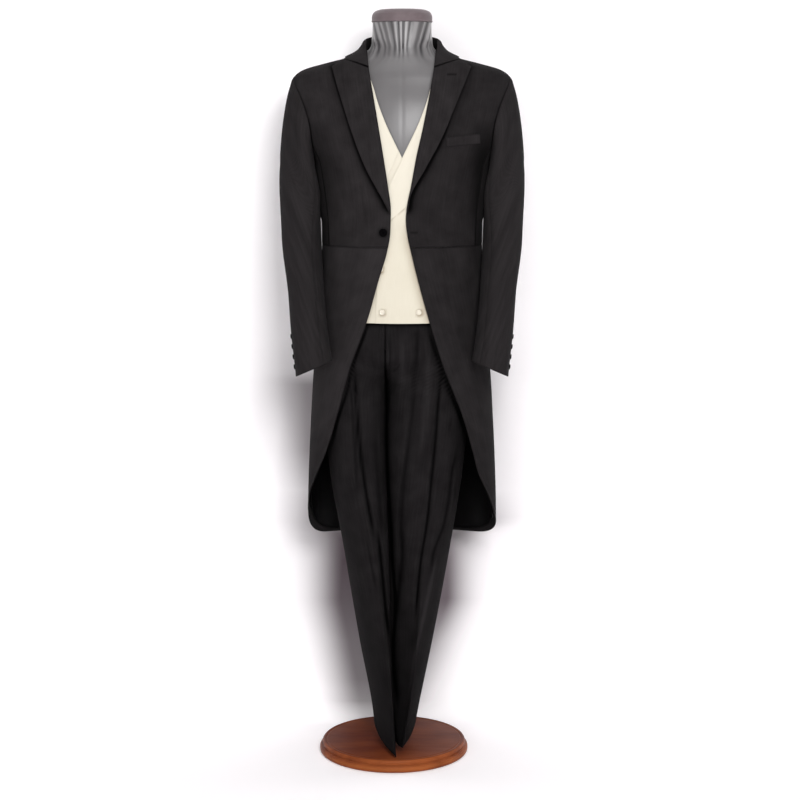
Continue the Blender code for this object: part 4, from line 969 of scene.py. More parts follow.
def front_angle(x, z):
    """Angle at which the front half of the coat's section has this x."""
    share = np.clip(np.abs(x) / curve(COAT, "half_width", z), 0.0, 1.0)
    return np.sign(x) * np.arcsin(share ** (curve(COAT, "squareness", z) / 2))


def finer(stops, steps):
    """The stops with each interval cut into steps."""
    stops = np.array(stops, dtype=float)
    cuts = [np.linspace(low, high, steps + 1)[:-1] for low, high in zip(stops[:-1], stops[1:])]
    return np.concatenate(cuts + [stops[-1:]])


def waistcoat_hem(angle):
    """Hem height: level in front, with a smooth step up to the sides."""
    rise = ease(np.abs(angle), 0.75, 1.5)
    return WAISTCOAT_HEM + (WAISTCOAT_SIDE_HEM - WAISTCOAT_HEM) * rise


def waistcoat_arm(z):
    """Angle of the side seam, and of the armhole's edge above it."""
    return front_angle(np.where(z < 1.284, 1.0, curve(WAISTCOAT_ARM, "x", z)), z)


def waistcoat_rows(hem):
    """Heights from the hem up to the neck, along each column of the cloth."""
    low = hem + (WAISTCOAT_ROWS[0] - hem) * crowded(44, 0.02)[:-5, None]
    return np.concatenate([low, finer(WAISTCOAT_ROWS, 7)[:, None] + 0 * hem])


def cream_finish():
    """Fine cream wool: a close weave, a soft nap and warm clouding."""
    made, shader, wire = new_finish("waistcoat_cloth", 0.80, Sheen_Weight=0.12, Sheen_Roughness=0.5)
    shader.inputs["Specular IOR Level"].default_value = 0.25
    cut = wire.cut()
    weave = wire.noise(cut, 1100.0, 2.0)
    streak = wire.noise(cut, 380.0, 2.0, (1.0, 0.08, 1.0))
    cloud = wire.noise(cut, 16.0, 3.0)
    tone = (cloud * 0.5 + streak * 0.3 + weave * 0.4 - 0.1).clamped()
    tone = tone.blend((0.565, 0.520, 0.415), (0.675, 0.635, 0.540))
    shaded(wire, tone, (0.300, 0.240, 0.165), (0.860, 0.820, 0.740)).into(shader, "Base Color")
    (0.70 + cloud * 0.2).into(shader, "Roughness")
    (weave * 0.8 + streak * 0.6).bump(shader, 0.22, 0.0004)
    return made


waistcoat_cloth = cream_finish()


def waistcoat_creases(angle, z):
    """Slight drag towards the buttoned lap and a shaping seam each side."""
    x = 0.17 * np.sin(angle)
    seam = 0.0005 * bell(np.abs(x) - 0.082 - 0.02 * (z - 1.0), 0.0016)
    drag = 0.0006 * bell(z - 1.100 - 0.10 * x, 0.010)
    drag = drag + 0.0005 * bell(z - 1.205 + 0.20 * x, 0.012)
    return -seam * fade(z, 1.28, 1.33) - drag


def make_waistcoat_front(side, word):
    """Left front laps over the right, whose edge is sunk beneath it.

    Bell curves of the distance paint a shadow below each button, along the lap's crossing and beside the
    coat's edges, and painted light brightens it higher up.
    """
    column = "over" if side > 0 else "under"
    u = crowded(84)[None, :]
    z = waistcoat_rows(waistcoat_hem(-0.45 + (math.pi / 2 + 0.45) * u))
    edge = front_angle(curve(WAISTCOAT_EDGE, column, z), z)
    angle = edge + (waistcoat_arm(z) - 0.0015 - edge) * u
    depth = curve(UNDER_COAT, "depth", z)
    if side < 0:
        lapped = fade(angle, 0.40, 0.48) * fade(z, 1.345, 1.37)
        depth = depth + (FINE_WALL + GAP + 0.0006) * lapped
    points = sunk(coat_surface, angle * side, z, depth)
    shade = 0.0 * z
    for row_z, right_x, left_x, _ in WAISTCOAT_BUTTONS:
        for button_x in (right_x, left_x):
            off = np.hypot(points[..., 0] - button_x - 0.0016, z - row_z + 0.0024)
            shade = shade + 0.95 * bell(off, 0.0076, 4)
    beside_left = np.maximum(curve(FRONT_EDGE, "left", z) - points[..., 0], 0.0)
    beside_right = np.maximum(points[..., 0] - curve(FRONT_EDGE, "right", z), 0.0)
    near_coat = 0.55 * bell(beside_left, 0.0110) + 0.20 * bell(beside_right, 0.0070)
    shade = shade + near_coat * fade(z, 1.150, 1.215) - 0.22 * ease(z, 1.195, 1.235)
    line = z - LAP_CROSSING[1] - (points[..., 0] - LAP_CROSSING[0]) * LAP_CROSSING[2]
    shade = shade + 0.85 * bell(line, 0.0016) * ease(points[..., 0], -0.030, -0.022)
    cloth(f"waistcoat_front_{word}_cloth", points, FINE_WALL, waistcoat_cloth,
          f"waistcoat_front_{word}", sewn="RT", shade=shade, relief=waistcoat_creases(angle, z))


def make_waistcoat_back():
    """One panel between the side seams and armholes, dipped at mid back."""
    u = crowded(110, 0.006)[None, :]
    z = waistcoat_rows(WAISTCOAT_SIDE_HEM + 0 * u)
    angle = math.pi + (2 * u - 1) * (waistcoat_arm(z) - 0.0015)
    points = sunk(coat_surface, angle, z, curve(UNDER_COAT, "depth", z))
    cloth("waistcoat_back_cloth", points, FINE_WALL, waistcoat_cloth, "waistcoat_back", sewn="LRT",
          relief=-0.0006 * bell(angle - math.pi, 0.012))


def coons(left, right, bottom, top, across, up):
    """Points between four edges, each a short list of (x, z) corners.

    A Coons patch: both blends between opposite edges, less the bilinear
    blend of the four corners.
    """
    def sample(corners, where):
        corners = np.array(corners, dtype=float)
        lengths = np.linalg.norm(np.diff(corners, axis=0), axis=1)
        reach = np.concatenate([[0], np.cumsum(lengths)]) / lengths.sum()
        return np.stack([np.interp(where, reach, corners[:, axis]) for axis in (0, 1)], -1)

    u, v = across[None, :, None], up[:, None, None]
    sides = sample(left, up)[:, None], sample(right, up)[:, None]
    ends = sample(bottom, across)[None], sample(top, across)[None]
    corners = ((1 - u) * (1 - v) * ends[0][:, :1] + u * (1 - v) * ends[0][:, -1:]
               + (1 - u) * v * ends[1][:, :1] + u * v * ends[1][:, -1:])
    points = (1 - u) * sides[0] + u * sides[1] + (1 - v) * ends[0] + v * ends[1] - corners
    return points[..., 0], points[..., 1]


def make_waistcoat_lapel(side, word):
    """A turned lapel, flat on the front, thick and round along its fold."""
    low = 1.262 if side > 0 else 1.350
    roll_z = np.linspace(low, 1.497, 40)
    roll = [(side * float(curve(WAISTCOAT_EDGE, "over", z)) + side * 0.001, z) for z in roll_z]
    if side > 0:
        edge = [(-0.0385, 1.195), (0.004, 1.231), (0.060, 1.285), (0.092, 1.360), (0.096, 1.440),
                (0.094, 1.497)]
    else:
        edge = [(-0.046, 1.262), (-0.060, 1.285), (-0.092, 1.360), (-0.096, 1.440),
                (-0.094, 1.497)]
    x, z = coons(roll, edge, [roll[0], edge[0]], [roll[-1], edge[-1]], crowded(36, 0.04), crowded(84))
    points = sunk(coat_surface, front_angle(x, z), z, curve(UNDER_COAT, "depth", z) - 0.0019)
    # The lapel is drawn lighter with painted light.
    cloth(f"waistcoat_lapel_{word}_cloth", points, FOLDED_WALL, waistcoat_cloth,
          f"waistcoat_lapel_{word}", shade=-0.17)


for hand, hand_word in HANDS:
    make_waistcoat_front(hand, hand_word)
    make_waistcoat_lapel(hand, hand_word)
make_waistcoat_back()

# Waistcoat buttons
# Two columns of three cream shell buttons with a turned rim and four holes,
# sewn through the lapped front; the upper rows lie under the coat.
BUTTON_THICKNESS = 0.0026
BUTTON_HOLE_WAY = 0.27
BUTTON_HOLE_RADIUS = 0.11
WAISTCOAT_BUTTON_RADIUS = 0.0062


def button(name, centre, normal, radius, lift, finish):
    """A turned button: a round rim, a dished middle and four small holes.

    Height over radius is a bell curve for the rim and a smooth step outside
    it, less a flat-bottomed bell for each hole.
    """
    normal = np.array(normal) / np.linalg.norm(normal)
    side_axis = np.cross(normal, [0.0, 0.0, 1.0])
    side_axis = side_axis / np.linalg.norm(side_axis)
    up_axis = np.cross(side_axis, normal)
    turn = np.linspace(0, 2 * math.pi, 40, endpoint=False)[None, :]
    face = np.linspace(1.0, 0.03, 24)
    height = 0.74 + 0.26 * bell(face - 0.86, 0.10) - 0.30 * ease(face, 0.86, 1.0)
    radii = np.concatenate([[0.03, 0.80, 0.93, 0.985], face])[:, None]
    height = np.concatenate([[0.0, 0.0, 0.08, 0.24], height])[:, None] + 0 * turn
    for quarter in range(4):
        hole = math.pi / 4 + quarter * math.pi / 2
        gap = np.hypot(radii * np.cos(turn) - BUTTON_HOLE_WAY * math.cos(hole),
                       radii * np.sin(turn) - BUTTON_HOLE_WAY * math.sin(hole))
        height = height - 0.50 * bell(gap, BUTTON_HOLE_RADIUS, 4) * (height > 0.3)
    plane = np.cos(turn)[..., None] * side_axis + np.sin(turn)[..., None] * up_axis
    loops = centre + plane * (radius * radii)[..., None]
    loops = loops + normal * (lift + BUTTON_THICKNESS * height)[..., None]
    put(f"{name}_turned", loft(name, loops), finish, name)


def button_on(name, x, z, depth, radius, lift, finish, back=False):
    """A button on the coat's surface, or as deep below it as the waistcoat."""
    angle = np.array(front_angle(x, z))
    angle = math.pi - angle if back else angle
    z = np.array(z)
    centre = sunk(coat_surface, angle, z, depth)
    button(name, centre, outward(coat_surface, angle, z), radius, lift, finish)


shell_finish, _, _ = clouded(
    "shell_button", dark=(0.50, 0.44, 0.34), light=(0.86, 0.82, 0.72), rough=0.20, spread=0.2,
    scale=260.0, detail=3.0, Coat_Weight=0.4)
for number, (row_z, right_x, left_x, row_lift) in enumerate(WAISTCOAT_BUTTONS, 1):
    for word, column_x in (("right", right_x), ("left", left_x)):
        button_on(f"waistcoat_button_{word}_{number}", column_x, row_z,
                  float(curve(UNDER_COAT, "depth", row_z)), WAISTCOAT_BUTTON_RADIUS, row_lift,
                  shell_finish)

# Coat body
# Charcoal worsted, cut in foreparts, sidebodies and backs that run into the
# tails. A waist seam joins the skirts, and the front edges curve away.
WAIST_SEAM = 1.148
HALF_GAP = 0.0001
NECK_SEAM = 1.570
TAIL_HEM = 0.496
TAIL_DROP = 0.016
VENT_TOP = 1.100
VENT_LAP = 0.19
PLEAT_LAP = 0.11
LAP_DEPTH = 0.0029
ARMHOLE_BOTTOM = 1.325
ARMHOLE_TOP = 1.513
ARMHOLE_FRONT = math.radians(30)
ARMHOLE_BACK = math.radians(28)
ARMHOLE_FRONT_STOPS = [0.0, 0.36, 0.66, 1.02, 1.42, 1.82, 2.22]
ARMHOLE_UNDER_STOPS = [2.22, 2.52, 2.83, 3.14, 3.46, 3.80, 4.14, 4.46, 4.776]
ARMHOLE_BACK_STOPS = [4.776, 5.12, 5.48, 5.84, 6.2832]
FRONT_SEAM_WAIST = 1.100
BACK_SEAM_WAIST = 2.845
BACK_SEAM_BOW = 0.055
ARM_FULLNESS = 0.0120
TAIL_SEAM = table("z angle", [
    (0.490, 2.760),
    (0.800, 2.790),
    (1.148, 2.845),
])
LAPEL_EDGE = table("z right left", [
    (1.222, -0.0270, 0.0120),
    (1.256, -0.0440, 0.0170),
    (1.314, -0.0750, 0.0480),
    (1.379, -0.1010, 0.0830),
    (1.454, -0.1260, 0.1150),
    (1.530, -0.1500, 0.1480),
])
CREASE_COLUMNS = "x0 z0 x1 z1 depth width"
# Marks on the cloth: x from the middle, height, and half length of a buttonhole
FRONT_BUTTON = (0.0400, 1.1795)
FRONT_HOLE = (0.0250, 1.1795, 0.0090)
LAPEL_HOLE = (0.1042, 1.5085, 0.0100)


def armhole_spread(z, half):
    """Half opening angle of the armhole at height z."""
    share = np.clip((z - ARMHOLE_BOTTOM) / (ARMHOLE_TOP - ARMHOLE_BOTTOM), 0.0, 1.0)
    return half * np.sin(math.pi * share) ** 0.6


def armhole_place(turn):
    """Angle and height of the armhole's edge at a place round it."""
    turn = np.asarray(turn, dtype=float)
    middle = 0.5 * (ARMHOLE_TOP + ARMHOLE_BOTTOM)
    z = middle + 0.5 * (ARMHOLE_TOP - ARMHOLE_BOTTOM) * np.cos(turn)
    spread = np.where(np.sin(turn) > 0, -armhole_spread(z, ARMHOLE_FRONT),
                      armhole_spread(z, ARMHOLE_BACK))
    return math.pi / 2 + spread, z


def front_edge(side):
    """The angle of the coat's front edge as a function of height."""
    column = "left" if side > 0 else "right"
    return lambda z: side * front_angle(curve(FRONT_EDGE, column, z), z)


def tail_drop(angle):
    """How much lower than at the side the tail's hem hangs behind."""
    return TAIL_DROP * ease(angle, 1.45, 2.60)


def tail_corner(edge_height, radius_angle):
    """Hem height that rises to the front edge in a round corner."""
    def hem(u, angle):
        rise = np.clip(1 - u / radius_angle, 0.0, 1.0)
        return TAIL_HEM - tail_drop(angle) + (edge_height - TAIL_HEM) * rise ** 2
    return hem


def seam_front(z):
    """Seam between forepart and sidebody, from the waist to the armhole."""
    angle, top = armhole_place(ARMHOLE_UNDER_STOPS[0])
    return FRONT_SEAM_WAIST + (angle - FRONT_SEAM_WAIST) * (z - WAIST_SEAM) / (top - WAIST_SEAM)


def seam_back(z):
    """Bowed seam between sidebody and back, from the waist to the armhole."""
    angle, top = armhole_place(ARMHOLE_UNDER_STOPS[-1])
    share = (z - WAIST_SEAM) / (top - WAIST_SEAM)
    bow = BACK_SEAM_BOW * np.sin(math.pi * np.clip(share, 0, 1))
    return BACK_SEAM_WAIST + (angle - BACK_SEAM_WAIST) * share + bow


def creases(rows, x, z):
    """Relief of soft troughs (or ridges, where depth is negative) along lines."""
    total = 0.0 * x
    for row in rows:
        line = dict(zip(CREASE_COLUMNS.split(), row))
        run = np.array([line["x1"] - line["x0"], line["z1"] - line["z0"]])
        length = np.hypot(*run)
        along = ((x - line["x0"]) * run[0] + (z - line["z0"]) * run[1]) / length ** 2
        off = ((x - line["x0"]) * run[1] - (z - line["z0"]) * run[0]) / length
        reach = ease(along, -0.15, 0.25) * fade(along, 0.75, 1.15)
        total = total - line["depth"] * reach * bell(off, line["width"])
    return total


coat_cloth = worsted_finish("coat_cloth", (0.0098, 0.0086, 0.0090), (0.0265, 0.0238, 0.0247), 0.7, 0.01)
FOREPART_CREASES = [
    (0.070, 1.470, 0.165, 1.505, 0.0012, 0.012),
    (0.150, 1.480, 0.175, 1.370, 0.0016, 0.013),
    (0.160, 1.340, 0.105, 1.210, 0.0016, 0.014),
    (0.060, 1.185, 0.150, 1.225, 0.0012, 0.010),
    (0.055, 1.170, 0.140, 1.165, 0.0008, 0.008),
    (0.092, 1.345, 0.078, 1.160, 0.0009, 0.004),
]


def make_forepart(side, word):
    """From the waist seam to the neck, with shoulder seam and armhole.

    Bell curves paint shade under the lapel's edge and a shadow round the button, a dark line marks the
    buttonhole, a smooth step paints shade under the arm, and the left forepart is painted darker all over.
    """
    arm_angle, arm_z = armhole_place(finer(ARMHOLE_FRONT_STOPS, 7)[::-1])
    low = WAIST_SEAM + HALF_GAP + (arm_z[0] - WAIST_SEAM - HALF_GAP) * crowded(56, 0.03)[:-1]
    high = finer([arm_z[-1], 1.525, 1.538, 1.550, NECK_SEAM - 0.006], 6)[1:]
    z = np.concatenate([low, arm_z, high])[:, None]
    limit = np.concatenate([seam_front(low), arm_angle, math.pi / 2 + 0 * high])[:, None]
    edge = front_edge(side)(z)
    angle = edge + (limit - 0.0015 - edge) * crowded(92)[None, :]
    points = coat_surface(angle * side, z + 0 * angle)
    relief = creases(FOREPART_CREASES, np.abs(points[..., 0]), points[..., 2])
    relief = relief * ease(np.abs(points[..., 0]), 0.03, 0.06)
    off = np.maximum(side * (points[..., 0] - curve(LAPEL_EDGE, word, z)), 0.0)
    depth = 1.1 if side < 0 else 1.1 - 0.75 * ease(z, 1.37, 1.44)
    shade = depth * bell(off, 0.0085 - 0.0042 * ease(z, 1.28, 1.45))
    shade = shade + 0.25 * bell(off, 0.015)
    shade = shade * ease(z, 1.212, 1.235) * fade(z, 1.525, 1.545) + (0.20 if side > 0 else 0.0)
    if side < 0:
        off = np.hypot(points[..., 0] + FRONT_BUTTON[0], points[..., 2] - FRONT_BUTTON[1])
        shade = shade + 0.9 * bell(off, 0.0105, 4)
    else:
        hole = bell(points[..., 2] - FRONT_HOLE[1], 0.0014)
        shade = shade + 0.6 * hole * (np.abs(points[..., 0] - FRONT_HOLE[0]) < FRONT_HOLE[2])
    under_arm = ease(np.abs(points[..., 0]), 0.130, 0.172) * ease(z, 1.16, 1.24) * fade(z, 1.33, 1.43)
    shade = shade + (0.45 if side < 0 else 0.70) * under_arm
    cloth(f"forepart_{word}", points, COAT_WALL, coat_cloth, f"coat_forepart_{word}", sewn="RTB",
          relief=relief, shade=shade)


def make_sidebody(side, word):
    """Panel under the arm, its top edge the lower half of the armhole.

    A sine of its width gives it fullness between waist and armhole, and its front part is painted in shade.
    """
    turn = finer(ARMHOLE_UNDER_STOPS, 7)
    top_angle, top = armhole_place(turn)
    u = (top_angle - seam_front(top)) / (seam_back(top) - seam_front(top))
    top = top - GAP * np.sin(np.linspace(0, math.pi, len(u)))
    z = WAIST_SEAM + HALF_GAP + (top - WAIST_SEAM - HALF_GAP)[None, :] * crowded(60, 0.02)[:, None]
    low, high = seam_front(z) + 0.0015, seam_back(z) - 0.0015
    angle = low + (high - low) * u[None, :]
    points = coat_surface(angle * side, z)
    full = np.sin(math.pi * u[None, :]) ** 1.5 * ease(z, 1.195, 1.225) * fade(z, 1.300, 1.335)
    cloth(f"sidebody_{word}", points, COAT_WALL, coat_cloth, f"coat_sidebody_{word}", sewn="LRTB",
          relief=ARM_FULLNESS * full, shade=0.5 * fade(u[None, :], 0.30, 0.55))


def make_back(side, word):
    """Back and tail in one, with the vent's underlap on the right side."""
    arm_angle, arm_z = armhole_place(finer(ARMHOLE_BACK_STOPS, 7))
    tail = np.concatenate([TAIL_HEM + (VENT_TOP - TAIL_HEM) * crowded(56, 0.02),
                           [VENT_TOP + 0.004, VENT_TOP + 0.008, VENT_TOP + 0.012]])
    body = finer([VENT_TOP + 0.012, WAIST_SEAM, arm_z[0]], 26)[1:-1]
    high = finer([arm_z[-1], 1.525, 1.538, 1.550, NECK_SEAM - 0.004], 6)[1:]
    z = np.concatenate([tail, body, arm_z, high])[:, None]
    z = z - tail_drop(3.0) * np.clip((VENT_TOP - z) / (VENT_TOP - TAIL_HEM), 0.0, 1.0)
    lower = body < WAIST_SEAM
    left = np.concatenate([curve(TAIL_SEAM, "angle", tail), curve(TAIL_SEAM, "angle", body[lower]),
                           seam_back(body[~lower]), arm_angle, math.pi / 2 + 0 * high])[:, None]
    left, centre = left + 0.0015, math.pi - 0.0015
    if side > 0:
        angle = left + (centre - left) * crowded(52)[None, :]
        depth = 0 * angle
    else:
        sink = LAP_DEPTH * fade(z, VENT_TOP + 0.012, WAIST_SEAM)
        lap = VENT_LAP * fade(z, VENT_TOP, VENT_TOP + 0.012)
        inside = left + (centre - 0.030 - left) * crowded(44)[None, :]
        under = centre - 0.010 + (0.010 + lap) * np.linspace(0, 1, 18)[None, :]
        angle = np.concatenate([inside, under], axis=1)
        depth = np.concatenate([0 * inside, sink + 0 * under], axis=1)
    points = sunk(coat_surface, angle * side, z + 0 * angle, depth)
    cloth(f"back_{word}", points, COAT_WALL, coat_cloth, f"coat_back_{word}", sewn="LRT")


for hand, hand_word in HANDS:
    make_forepart(hand, hand_word)
    make_sidebody(hand, hand_word)
    make_back(hand, hand_word)

# Skirts and lining
# Each skirt is sewn on at the waist, its back edge pleated under the tail. Skirt
# and tail are lined with black satin that stops short of the hem and edge.
LINING_WALL = 0.0011
LINING_DEPTH = 0.0056
LINING_TOP = 0.975
SKIRT_CREASES = [
    (0.110, 1.140, 0.150, 0.900, 0.0016, 0.014),
    (0.150, 1.100, 0.185, 0.750, 0.0016, 0.014),
    (0.125, 0.900, 0.165, 0.600, 0.0012, 0.012),
]


def make_skirt(side, word):
    """From the waist seam to the hem, with a pleat tucked under the tail.

    The front edge is cut away by a table, the hem meets it in a round corner.
    """
    corner = tail_corner(0.560 if side < 0 else 0.535, 0.55)
    u = finer([0.0, 0.04, 0.10, 0.18, 0.30, 0.44, 0.58, 0.72, 0.86, 0.985, 1.0], 8)[None, :]
    v = crowded(110, 0.008)[:, None]
    edge, pleat = front_edge(side)(TAIL_HEM), curve(TAIL_SEAM, "angle", TAIL_HEM)
    hem = corner(u, edge + (pleat - edge) * u)
    z = hem + (WAIST_SEAM - HALF_GAP - hem) * v
    edge, pleat = front_edge(side)(z), curve(TAIL_SEAM, "angle", z) - 0.0015
    angle = edge + (pleat - edge) * u
    under = angle[:, -1:] + np.linspace(0, 1, 14)[None, 1:] * PLEAT_LAP
    depth = np.concatenate([LAP_DEPTH * ease(u, 0.985, 1.0) + 0 * angle, LAP_DEPTH + 0 * under], axis=1)
    angle = np.concatenate([angle, under], axis=1)
    z = np.concatenate([z, z[:, -1:] + 0 * under], axis=1)
    points = sunk(coat_surface, angle * side, z, depth)
    relief = creases(SKIRT_CREASES, np.abs(points[..., 0]), points[..., 2])
    relief = relief * fade(points[..., 1], -0.03, 0.02)
    # Painted shade low on both skirts and all over the left one, and painted light high on the right one.
    shade = 0.15 * fade(z, 0.60, 0.80) + (0.12 if side > 0 else -0.08 * ease(z, 0.60, 0.80))
    cloth(f"skirt_{word}", points, COAT_WALL, coat_cloth, f"coat_skirt_{word}", sewn="T",
          relief=relief, shade=shade)


lining_finish, lining_shader, lining_wire = new_finish("black_lining", 0.42, Specular_IOR_Level=0.06)
lining_cut = lining_wire.cut()
lining_cloud = lining_wire.noise(lining_cut, 14.0, 2.0)
lining_warp = lining_wire.noise(lining_cut, 1600.0, 1.0, (1.0, 0.05, 1.0))
lining_cloud.blend((0.0010, 0.0009, 0.0010), (0.0030, 0.0027, 0.0030)).into(lining_shader, "Base Color")
(0.34 + lining_cloud * 0.2).into(lining_shader, "Roughness")
lining_warp.bump(lining_shader, 0.1, 0.0002)


def make_lining(side, word):
    """One sheet inside skirt and tail, a fixed depth in from the coat."""
    corner = tail_corner(0.566 if side < 0 else 0.541, 0.50)
    u = crowded(72)[None, :]
    start = front_edge(side)(TAIL_HEM)
    hem = corner(u, start + (math.pi - start) * u) + 0.008
    z = hem + (LINING_TOP - hem) * crowded(56)[:, None]
    edge = front_edge(side)(z) + 0.035
    angle = edge + (math.pi - 0.03 - edge) * u
    points = sunk(coat_surface, angle * side, z, LINING_DEPTH)
    cloth(f"lining_{word}", points, LINING_WALL, lining_finish, f"tail_lining_{word}", sewn="LRTB")


for hand, hand_word in HANDS:
    make_skirt(hand, hand_word)
    make_lining(hand, hand_word)

# Lapels and collar
# Peaked lapels turn back from the front edge along the roll line and meet the
# collar at a sloping gorge seam; the collar stands behind and falls over.
LAPEL_WALL = 0.0018
FOLD_SHARE = 0.62
FOLD_HIGH = 1.600
FOLD_SHOULDER = 1.586
FOLD_FALL = 0.058
EDGE_SHARE = 0.72
LEAF_X = 0.118
LEAF_Z = 1.548


def make_lapel(side, word):
    """Patch between the roll line, the outer edge and the gorge, bellied out."""
    roll_z, edge_z = np.linspace(1.228, 1.524, 60), np.linspace(1.222, 1.527, 60)
    roll = [(float(curve(FRONT_EDGE, word, z)), z) for z in roll_z]
    edge = [(float(curve(LAPEL_EDGE, word, z)), z) for z in edge_z]
    gorge = [roll[-1], (side * 0.124, 1.5405), edge[-1]]
    across = crowded(60, 0.03)
    x, z = coons(roll, edge, [roll[0], edge[0]], gorge, across, 1 - (1 - crowded(120)) ** 1.3)
    belly = 0.0030 * np.sin(math.pi * across[None, :]) + 0.0012 * ease(z, 1.40, 1.50)
    belly = belly + 0.0030 * ease(across[None, :], 0.5, 1.0) * fade(z, 1.46, 1.53) * ease(z, 1.225, 1.27)
    angle = front_angle(x, z)
    points = sunk(coat_surface, angle, z, -(GAP + LAPEL_WALL + belly))
    hole = bell(z - LAPEL_HOLE[1], 0.0016) * (np.abs(x - LAPEL_HOLE[0]) < LAPEL_HOLE[2])
    cloth(f"lapel_{word}", points, LAPEL_WALL, coat_cloth, f"coat_lapel_{word}", sewn="T",
          shade=0.8 * hole)


def smooth_loop(sections, steps):
    """Closed sections with each side cut into steps, the corners kept soft."""
    after = np.roll(sections, -1, axis=1)
    t = np.linspace(0, 1, steps, endpoint=False)[None, None, :, None]
    fine = sections[:, :, None] * (1 - t) + after[:, :, None] * t
    fine = fine.reshape(sections.shape[0], -1, 3)
    for _ in range(steps // 2):
        fine = 0.5 * fine + 0.25 * (np.roll(fine, 1, axis=1) + np.roll(fine, -1, axis=1))
    return fine


def make_collar():
    """Stand and turned-down leaf, from gorge to gorge round the neck.

    A closed section of edge, fold and foot is carried round the neck, each
    point a share of the way from the leaf's edge to the fold, at its depth.
    """
    turn = np.linspace(-1, 1, 170)
    side, away = np.where(turn < 0, -1, 1), np.abs(turn)
    fore = ease(away, FOLD_SHARE, 1.0)
    fold_z = np.where(
        away < FOLD_SHARE, FOLD_HIGH - (FOLD_HIGH - FOLD_SHOULDER) * (away / FOLD_SHARE) ** 2,
        FOLD_SHOULDER - FOLD_FALL * np.clip((away - FOLD_SHARE) / (1 - FOLD_SHARE), 0, 1))
    fold_x = np.where(side > 0, curve(FRONT_EDGE, "left", fold_z), -curve(FRONT_EDGE, "right", fold_z))
    fold_angle = np.where(away < FOLD_SHARE, math.pi - math.pi / 2 * away / FOLD_SHARE,
                          front_angle(fold_x, fold_z))
    edge_x = LEAF_X + 0.006 * ease(away, EDGE_SHARE, 1.0)
    edge_z = LEAF_Z - 0.0055 * ease(away, EDGE_SHARE, 1.0)
    edge_angle = np.where(away < EDGE_SHARE, math.pi - math.pi / 2 * away / EDGE_SHARE,
                          front_angle(edge_x, edge_z))
    foot = np.where(fold_z > NECK_SEAM, (NECK_SEAM - 0.003 - edge_z) / (fold_z - edge_z), 0.96)
    foot = np.clip(foot, 0, 0.96)
    stand = ease(fold_z, NECK_SEAM + 0.002, NECK_SEAM + 0.010)
    out, near, whole = GAP + LAPEL_WALL + 0.0018, -GAP - 0.0018, 1 + 0 * foot
    profile = [(0 * whole, near), (0 * whole, -out), (0.3 * whole, -out - 0.0012),
               (0.6 * whole, -out - 0.0014), (0.88 * whole, -out - 0.0008), (whole, -0.0022),
               (whole, near + (0.0012 - near) * stand), (foot, near + (0.0014 - near) * stand),
               (foot - 0.01, near), (0.66 * foot, near), (0.33 * foot, near)]
    sections = []
    for share, depth in profile:
        angle = edge_angle + (fold_angle - edge_angle) * share
        z = edge_z + (fold_z - edge_z) * share
        level = front_angle(edge_x + (fold_x - edge_x) * share, z)
        angle = np.where(away > EDGE_SHARE, angle + (level - angle) * fore, angle)
        sections.append(sunk(coat_surface, angle * side, z, depth))
    loops = smooth_loop(np.stack(sections, axis=1), 6)
    mesh = loft("collar", loops)
    u, v = reaches(loops)
    store_cut(mesh, np.stack([v.reshape(-1), u.reshape(-1)], -1))
    collar = put("collar", mesh, coat_cloth, "coat_collar")


for hand, hand_word in HANDS:
    make_lapel(hand, hand_word)
make_collar()

# Breast welt
# A strip of the coat's cloth, doubled and sewn on over the mouth of the left
# breast pocket; it slopes up a little towards the armhole.
welt_x, welt_z = coons([(0.092, 1.360), (0.091, 1.380)], [(0.166, 1.367), (0.165, 1.388)],
                       [(0.092, 1.360), (0.166, 1.367)], [(0.091, 1.380), (0.165, 1.388)],
                       crowded(50, 0.04), crowded(24, 0.12))
welt_points = sunk(coat_surface, front_angle(welt_x, welt_z), welt_z, -(GAP + LAPEL_WALL))
cloth("breast_welt", welt_points, LAPEL_WALL, coat_cloth, "coat_breast_welt", sewn="LRB")

# Sleeves
# Two-piece sleeves, set into the armhole with a little fullness at the head.
# They hang empty, bent forwards, and wrinkle softly at the elbow.
SLEEVE_START = 1.240
CUFF_HIGH = 0.905
CUFF_LOW = 0.870
CAP_SHARE = 0.42
SLEEVE = table("z outer inner centre_y half_depth bulge", [
    (0.850, 0.2250, 0.1400, -0.135, 0.052, 0.0),
    (0.880, 0.2280, 0.1450, -0.130, 0.053, 0.0),
    (0.970, 0.2390, 0.1600, -0.103, 0.057, 0.0),
    (1.050, 0.2460, 0.1680, -0.075, 0.061, 0.0),
    (1.150, 0.2600, 0.1745, -0.037, 0.066, 0.0),
    (1.200, 0.2628, 0.1768, -0.023, 0.069, 0.0040),
    (1.240, 0.2654, 0.1785, -0.012, 0.071, 0.0100),
])
SLEEVE_CREASES = [
    (0.262, 1.330, 0.222, 1.260, 0.0022, 0.010),
    (0.260, 1.250, 0.205, 1.215, 0.0018, 0.008),
    (0.190, 1.180, 0.245, 1.140, 0.0026, 0.009),
    (0.252, 1.180, 0.196, 1.120, 0.0018, 0.008),
    (0.185, 1.110, 0.240, 1.080, 0.0022, 0.009),
    (0.240, 1.060, 0.185, 1.020, 0.0014, 0.009),
    (0.180, 0.990, 0.225, 0.960, 0.0010, 0.010),
    (0.238, 1.450, 0.246, 1.340, 0.0016, 0.009),
]


